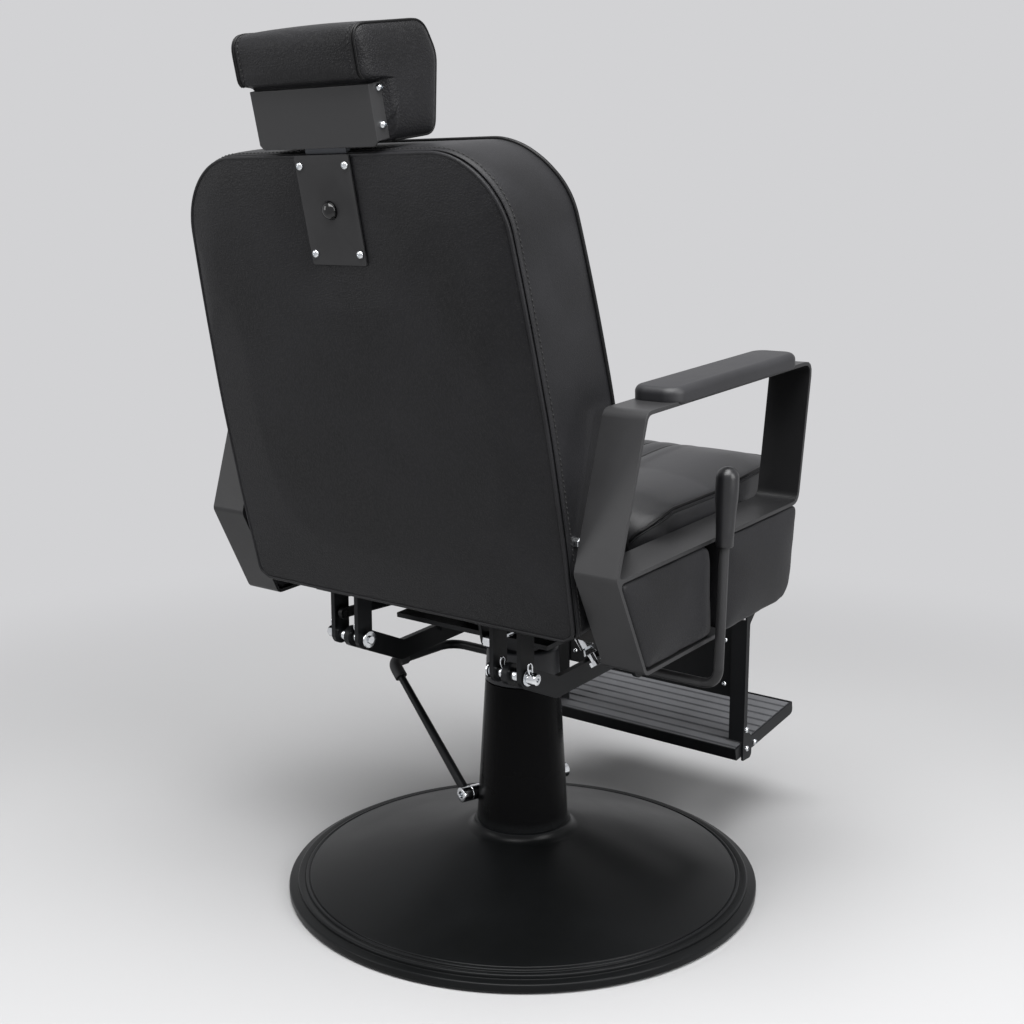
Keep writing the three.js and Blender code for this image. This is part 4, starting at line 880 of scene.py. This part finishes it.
for vert in headCushion.data.vertices:
    # the leather turns in round the bracket's folded ends
    spot = toBack @ vert.co
    behind = clamped((spot.y - headrest["tabFront"] + 3) / 3)
    under = clamped((headrest["cap"] + 5 - spot.z) / 4)
    most = headrest["tabInside"] - 0.4
    if abs(spot.x) > most and behind * under > 0:
        spot.x = math.copysign(abs(spot.x) + (most - abs(spot.x)) * behind * under, spot.x)
        vert.co = backFrame @ spot
carved(headCushion, {"halfWidth": 30.5, "front": 13, "rear": 29, "bottom": 590, "top": 662}, backFrame)
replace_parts(headCushion, "headrest_cushion")
print("headrest upholstered")

# ---- small bright screws
for side, sign in sides.items():
    outward = Vector((sign, 0, 0))
    for name, y, z in (("upper", 17.1, 664), ("lower", 20.1, 627.7)):
        screw("bracket_screw_" + name + "_" + side, Vector((sign * 86.7, y, z)), outward, 4.3, "headrest",
              backFrame, 1.1)
    for name, y, z in (("foot", -302.5, 132), ("clip", -300.5, 160)):
        screw("leg_screw_" + name + "_" + side, Vector((sign * 165.1, y, z)), outward, 4.4, "footrest",
              floorFrame, 0.9)
    screw("tray_screw_" + side, Vector((sign * 161.8, -331, 133)), outward, 4.4, "footrest", floorFrame, 0.9)
    for name, z in (("upper", 286), ("lower", 222)):
        screw("calf_screw_" + name + "_" + side, Vector((sign * 130, -297.2, z)), Vector((0, 1, 0)), 4,
              "footrest", floorFrame, 0.9)

# ---- floor base and column
base = {"radius": 310, "rimWidth": 26, "rimHeight": 20, "seat": 6.3, "neck": 63.4, "shoulder": 76,
        "fillet": 14, "top": 88,
        "coverFoot": 60.4, "taper": 0.059, "coverTop": 280, "coverWall": 2.5, "collarTop": 328,
        "collarWall": 3}
r, h = base["radius"], base["rimHeight"]
inner = r - base["rimWidth"]


def arc(cx, cz, radius, start, end, steps=6):
    # points round a corner of a profile
    angles = [math.radians(start + (end - start) * i / steps) for i in range(steps + 1)]
    return [(cx + radius * math.cos(a), cz + radius * math.sin(a)) for a in angles]


rimProfile = [(inner, base["seat"]), (r - 13, base["seat"]), (r - 13, 1.5), *arc(r - 3, 4.5, 3, -90, 0),
              *arc(r - 3, 0.5 * h, 3, 0, 70), *arc(r - 10.5, 0.72 * h, 1, 250, 180, 3),
              *arc(r - 14, 0.82 * h, 2.5, 0, 80, 5), *arc(r - 20, 0.92 * h, 1, 250, 180, 3),
              *arc(r - 23.5, h - 2, 2.3, 0, 110, 5), (inner, h - 1), (inner, base["seat"])]
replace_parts(turned("stepped_rim_ring", rimProfile, "domePowderCoat", "base", floorFrame, 160, 30),
            "base_rim_ring")

edge = inner - 0.3
filletStart = base["neck"] + base["fillet"]
rise = base["top"] - base["shoulder"]
sweep = [(filletStart - base["fillet"] * math.sin(a), base["top"] - rise * math.cos(a))
         for a in [math.radians(4 + 82 * i / 12) for i in range(13)]]
domeProfile = [(edge, base["seat"]), (edge, h - 1), *arc(edge - 3, h - 1.5, 2.4, 10, 80, 4)]
start = domeProfile[-1]
for i in range(1, 14):
    t = i / 14
    domeProfile.append((start[0] + (filletStart - start[0]) * t,
                        start[1] + (base["shoulder"] - start[1]) * t + 1.8 * math.sin(math.pi * t)))
domeProfile += sweep + [(base["neck"] - 0.5, base["top"] - 1), (base["neck"] - 2.5, base["top"]),
                        (base["coverFoot"] - 10, base["top"]),
                        (base["coverFoot"] - 10, base["top"] - 4), (filletStart, base["shoulder"] - 4),
                        (edge - 4, h - 5), (edge - 4, base["seat"]), (edge, base["seat"])]
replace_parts(turned("spun_base_dome", domeProfile, "domePowderCoat", "base", floorFrame, 160, 30), "base_dome")


def columnRadius(z):
    return base["coverFoot"] - base["taper"] * (z - base["top"])


foot = base["top"] + 0.3
coverTop = base["coverTop"]
coverProfile = [(columnRadius(foot), foot), *[(columnRadius(z), z) for z in range(100, 260, 20)],
                *arc(columnRadius(coverTop) - 1.5, coverTop - 1.5, 1.5, 0, 90, 4),
                (columnRadius(coverTop) - base["coverWall"], coverTop),
                (columnRadius(foot) - base["coverWall"], foot), (columnRadius(foot), foot)]
cover = turned("tapered_column_cover", coverProfile, "columnPaint", "base", floorFrame, 128, 30)
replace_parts(cover, "column_cover")
top = base["collarTop"]
low = coverTop + 0.6
collarProfile = [(12.5, 300.3), (20.4, 300.3), (20.4, top - 8),
                 (columnRadius(top) - base["collarWall"], top - 8),
                 (columnRadius(low) - base["collarWall"], low),
                 *arc(columnRadius(low) - 1, low + 1, 1, -90, 0, 3), (columnRadius(top) + 0.5, top - 8),
                 *arc(columnRadius(top) - 4, top - 6, 4.5, 0, 60, 5), (columnRadius(top) - 6, top),
                 (12.5, top), (12.5, 300.3)]
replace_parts(turned("swivel_collar_cap", collarProfile, "greyCollarPaint", "seat", floorFrame, 128, 30),
            "swivel_collar")
print("base and column turned")

# ---- foot pump lever
pump = {"radius": 10, "height": 120, "offset": 38, "bearing": 72, "rearReach": 73, "frontReach": 98,
        "length": 221, "rise": 39.5,
        "skew": 4.9, "footRadius": 6.5, "tipRadius": 5, "sleeve": 8.8, "barRadius": 6.5, "barReach": 125,
        "barWidth": 140, "barBend": 30}
angle = math.radians(pump["bearing"])
shaftAlong = Vector((math.cos(angle), math.sin(angle), 0))
shaftOut = Vector((math.sin(angle), -math.cos(angle), 0))
shaftMiddle = shaftOut * pump["offset"] + Vector((0, 0, pump["height"]))
rearEnd = shaftMiddle + shaftAlong * pump["rearReach"]
reach = pump["rearReach"] + pump["frontReach"]
r = pump["radius"]
shaftProfile = [(0, 0), (r - 1, 0), (r, 1), (r, reach - 15), (r - 0.8, reach - 14.4), (r - 0.8, reach - 13.4),
                (r, reach - 12.8), *arc(r - 1.2, reach - 1.2, 1.2, 0, 90, 4), (5.2, reach),
                (4.6, reach - 0.8), (4.4, reach - 7), (0, reach - 8.5)]
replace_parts(turned("polished_pump_shaft", shaftProfile, "brightChrome", "pump_lever",
                   facing(shaftAlong, rearEnd - shaftAlong * reach, floorFrame), 48, 30), "pump_shaft")
leverFoot = shaftMiddle + shaftAlong * (pump["rearReach"] - pump["footRadius"] - 3)
sideways = Matrix.Rotation(math.radians(pump["skew"]), 3, "Z") @ shaftOut
leverAlong = sideways * math.cos(math.radians(pump["rise"]))
leverAlong.z = math.sin(math.radians(pump["rise"]))
elbow = leverFoot + leverAlong * pump["length"]
arm = wire("pump_lever_rod", [leverFoot + leverAlong * (pump["radius"] - 1), elbow - leverAlong * 2],
           pump["footRadius"], "undersidePaint",
           "pump_lever", floorFrame, taper=pump["tipRadius"] / pump["footRadius"])
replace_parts(arm, "pump_lever_arm")
corner = elbow + Vector((0, -pump["barReach"], 0))
end = corner + Vector((-pump["barWidth"], 0, 0))
bar = wire("bent_foot_bar", rounded([elbow + Vector((0, -9, 0)), corner, end], pump["barBend"], 12),
           pump["barRadius"], "undersidePaint", "pump_lever", floorFrame)
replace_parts(bar, "foot_bar")
sleeveRoute = rounded([elbow - leverAlong * 26, elbow, elbow + Vector((0, -26, 0))], 14, 10)
sleeve = wire("rubber_elbow_sleeve", sleeveRoute, pump["sleeve"], "mouldedRubber", "pump_lever", floorFrame)
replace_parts(sleeve, "lever_elbow_sleeve")

# ---- recline lever
lever = {"pivot": (62, -46), "x": -327, "inner": -211, "rod": 5.75, "bend": 22, "lean": -6, "grip": 161,
         "gripLength": 91, "gripTop": 13, "gripFoot": 10}
lean = math.radians(lever["lean"])
upLever = Vector((0, math.sin(lean), math.cos(lean)))
innerEnd = Vector((lever["inner"], *lever["pivot"]))
corner = Vector((lever["x"], *lever["pivot"]))
gripFoot = corner + upLever * lever["grip"]
rod = wire("recline_rod", rounded([innerEnd, corner, gripFoot + upLever * 0.55 * lever["gripLength"]],
                                  lever["bend"], 12), lever["rod"],
           "satinPowderCoat", "recline_lever", seatFrame)
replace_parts(rod, "recline_lever_rod")
g, length = lever["gripTop"], lever["gripLength"]
gripProfile = [(0, 0.5), (6, 0.5), (lever["gripFoot"] - 1.2, 0), (lever["gripFoot"], 1.2),
               (lever["gripFoot"] + 0.4, 0.2 * length), (g - 1.5, 0.45 * length), (g - 0.3, 0.6 * length),
               (g, 0.72 * length), *arc(0, length - g, g, 0, 90, 10)]
grip = turned("tapered_lever_grip", gripProfile, "satinGrip", "recline_lever",
              facing(upLever, gripFoot, seatFrame), 48, 60)
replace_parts(grip, "recline_lever_grip")
print("levers bent")

# ---- headrest plate, button and screws
plate = {"face": 29.3, "screwX": 33.3, "screwZ": (496, 590), "screwRadius": 4.5, "buttonZ": 543,
         "buttonRadius": 10}
r = plate["screwRadius"]
screwProfile = [(0, 1.3), (0.36 * r, 1.3), (0.42 * r, 2.7), (0.7 * r, 2.3), (0.93 * r, 1.3), (r, 0.2),
                (r - 0.3, 0), (0, 0)]
screwSpots = [(x, z) for x in (-plate["screwX"], plate["screwX"]) for z in plate["screwZ"]]
for number, (x, z) in enumerate(screwSpots, 1):
    name = "plate_screw_" + str(number)
    made = turned("button_head_" + str(number), screwProfile, "brightChrome", "back",
                  facing((0, 1, 0), (x, plate["face"] + 0.3, z), backFrame), 32, 30)
    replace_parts(made, name)
b = plate["buttonRadius"]
buttonProfile = [(0, -16), (4, -16), (4, -3), (b - 0.5, -3), (b, -2.5),
                 *[(b * math.cos(a), 0.8 * b * math.sin(a)) for a in
                 [math.radians(90 * i / 12) for i in range(13)]]]
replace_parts(turned("domed_release_button", buttonProfile, "glossyAcetal", bodyOf["release_button"],
                   facing((0, 1, 0), (0, plate["face"], plate["buttonZ"]), backFrame), 48, 60),
                   "release_button")

# ---- painted and plated metal that keeps its CAD shape, with its edges eased
for name in ("arm_frame_left", "arm_frame_right", "headrest_bracket", "headrest_plate"):
    dress(name, "satinPowderCoat")
for name in ("footrest_leg_left", "footrest_leg_right", "calf_plate", "foot_tray", "side_rail_left",
             "side_rail_right", "hinge_bracket_left", "hinge_bracket_right", "lever_hanger", "footrest_link"):
    dress(name, "undersidePaint")
dress("foot_tread", "greyTread", 0.5)
# plated hinge pins: a washered head, spacer sleeves either side of the rail, a cap nut, and hairpin clips
pinProfile = [(0, 94), (4.6, 94), (5, 94.4), (5, 96.6), (10.2, 96.9), (10.5, 97.4), (10.5, 98.6),
              (10.2, 99.1), (7.6, 99.3), (7.6, 104.6), (5, 104.7), (5, 111.2), (7.8, 111.3), (8, 111.8),
              (8, 121.2), (7.8, 121.6), (5, 121.7), (5, 130.3), (7.8, 130.4), (8, 130.9), (8, 144.2),
              (7.8, 144.6), (5, 144.7), (5, 151.3), (9.6, 151.4), (9.9, 151.8), (9.9, 152.8), (9.6, 153.2),
              (7.3, 153.3), (7.3, 163.6), (6.5, 165.3), (5, 166), (2.7, 166), (2.5, 164.2), (0, 164.2)]
for side, sign in sides.items():
    pin = turned("sleeved_hinge_pin_" + side, pinProfile, "brightChrome", "back",
                 facing((sign, 0, 0), (0, 0, 0), backFrame), 40, 30)
    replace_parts(pin, "hinge_pin_" + side)
    for x in (117, 157):
        corners = [(sign * x, y, z) for y, z in ((-2.2, 6.5), (-4.4, 15), (0, 21), (4.4, 15), (2.2, 6.5))]
        wire("hairpin_clip_" + str(x) + "_" + side, rounded(corners, 3.2), 1.0, "brightChrome", "back",
             backFrame)
for name in ("footrest_pivot_left", "footrest_pivot_right", "recline_stop_screw", "frame_bolt_left",
             "frame_bolt_right"):
    dress(name, "brightChrome", 0.5)
paint("undersidePaint", "swivel_block", "seat_mount_plate", "seat_runner_left", "seat_runner_right",
      "gas_spring_bracket")
paint("blackenedSteel", "base_plate", "pump_cylinder", "headrest_tongue")
paint("brightChrome", "hydraulic_ram", "gas_spring_rod")
paint("mouldedRubber", "cylinder_gland")
paint("satinGrip", "gas_spring_cylinder")
paint("stainedPly", "seat_board")
print("metalwork finished")

# ---- studio
studio = {"background": "d2d2d4", "paper": "bfbfc0", "floorRadius": 7, "fadeStart": 0.7, "fadeEnd": 1.9}


def studioFloor():
    # a seamless pale sweep that fades into the background
    bm = bmesh.new()
    bmesh.ops.create_circle(bm, cap_ends=True, segments=96, radius=studio["floorRadius"])
    mesh = bpy.data.meshes.new("studio_floor")
    bm.to_mesh(mesh)
    bm.free()
    floor = bpy.data.objects.new("studio_floor", mesh)
    bpy.context.scene.collection.objects.link(floor)
    made, tree, shader, place = newMaterial("seamlessPaper", Roughness=0.9, Specular_IOR_Level=0.1)
    shader.inputs["Base Color"].default_value = linear(studio["paper"])
    away = add(tree, "VectorMath", {0: place}, operation="LENGTH").outputs["Value"]
    stretch = {"Value": away, "From Min": studio["fadeStart"], "From Max": studio["fadeEnd"]}
    fade = add(tree, "MapRange", stretch, interpolation_type="SMOOTHSTEP").outputs["Result"]
    rays = add(tree, "LightPath")
    seen = joined(tree, rays.outputs["Is Camera Ray"], rays.outputs["Is Glossy Ray"], "MAXIMUM")
    share = joined(tree, fade, seen, "MULTIPLY")
    glow = add(tree, "Emission", {"Color": linear(studio["background"])}).outputs[0]
    mixed = add(tree, "MixShader", {0: share, 1: shader.outputs[0], 2: glow}).outputs[0]
    tree.links.new(mixed, tree.nodes["Material Output"].inputs["Surface"])
    mesh.materials.append(made)


def studioWorld():
    world = bpy.data.worlds.new("studio")
    bpy.context.scene.world = world
    world.use_nodes = True
    tree = world.node_tree
    seenBackground = add(tree, "Background",
                         {"Color": linear(studio["background"]), "Strength": 1}).outputs[0]
    ambient = add(tree, "Background", {"Color": linear("f0f1f3"), "Strength": 0.07}).outputs[0]
    rays = add(tree, "LightPath")
    seen = joined(tree, rays.outputs["Is Camera Ray"], rays.outputs["Is Glossy Ray"], "MAXIMUM")
    seen = joined(tree, seen, rays.outputs["Is Transmission Ray"], "MAXIMUM")
    mixed = add(tree, "MixShader", {0: seen, 1: ambient, 2: seenBackground}).outputs[0]
    tree.links.new(mixed, tree.nodes["World Output"].inputs["Surface"])


def softbox(name, place, target, width, height, power):
    lamp = bpy.data.lights.new(name, "AREA")
    lamp.shape = "RECTANGLE"
    lamp.size = width
    lamp.size_y = height
    lamp.energy = power
    made = bpy.data.objects.new(name, lamp)
    made.location = place
    made.rotation_euler = (Vector(target) - Vector(place)).to_track_quat("-Z", "Y").to_euler()
    bpy.context.scene.collection.objects.link(made)


studioFloor()
studioWorld()
softbox("overhead", (-0.6, 0.9, 3.0), (0, 0, 0.4), 2.5, 2.5, 160)
softbox("right_window", (-3.0, 0.1, 1.7), (0, 0, 0.5), 1.4, 2.2, 62)
softbox("left_window", (2.0, 2.5, 1.5), (0, 0, 0.6), 1.1, 1.6, 18)
print("studio lit")
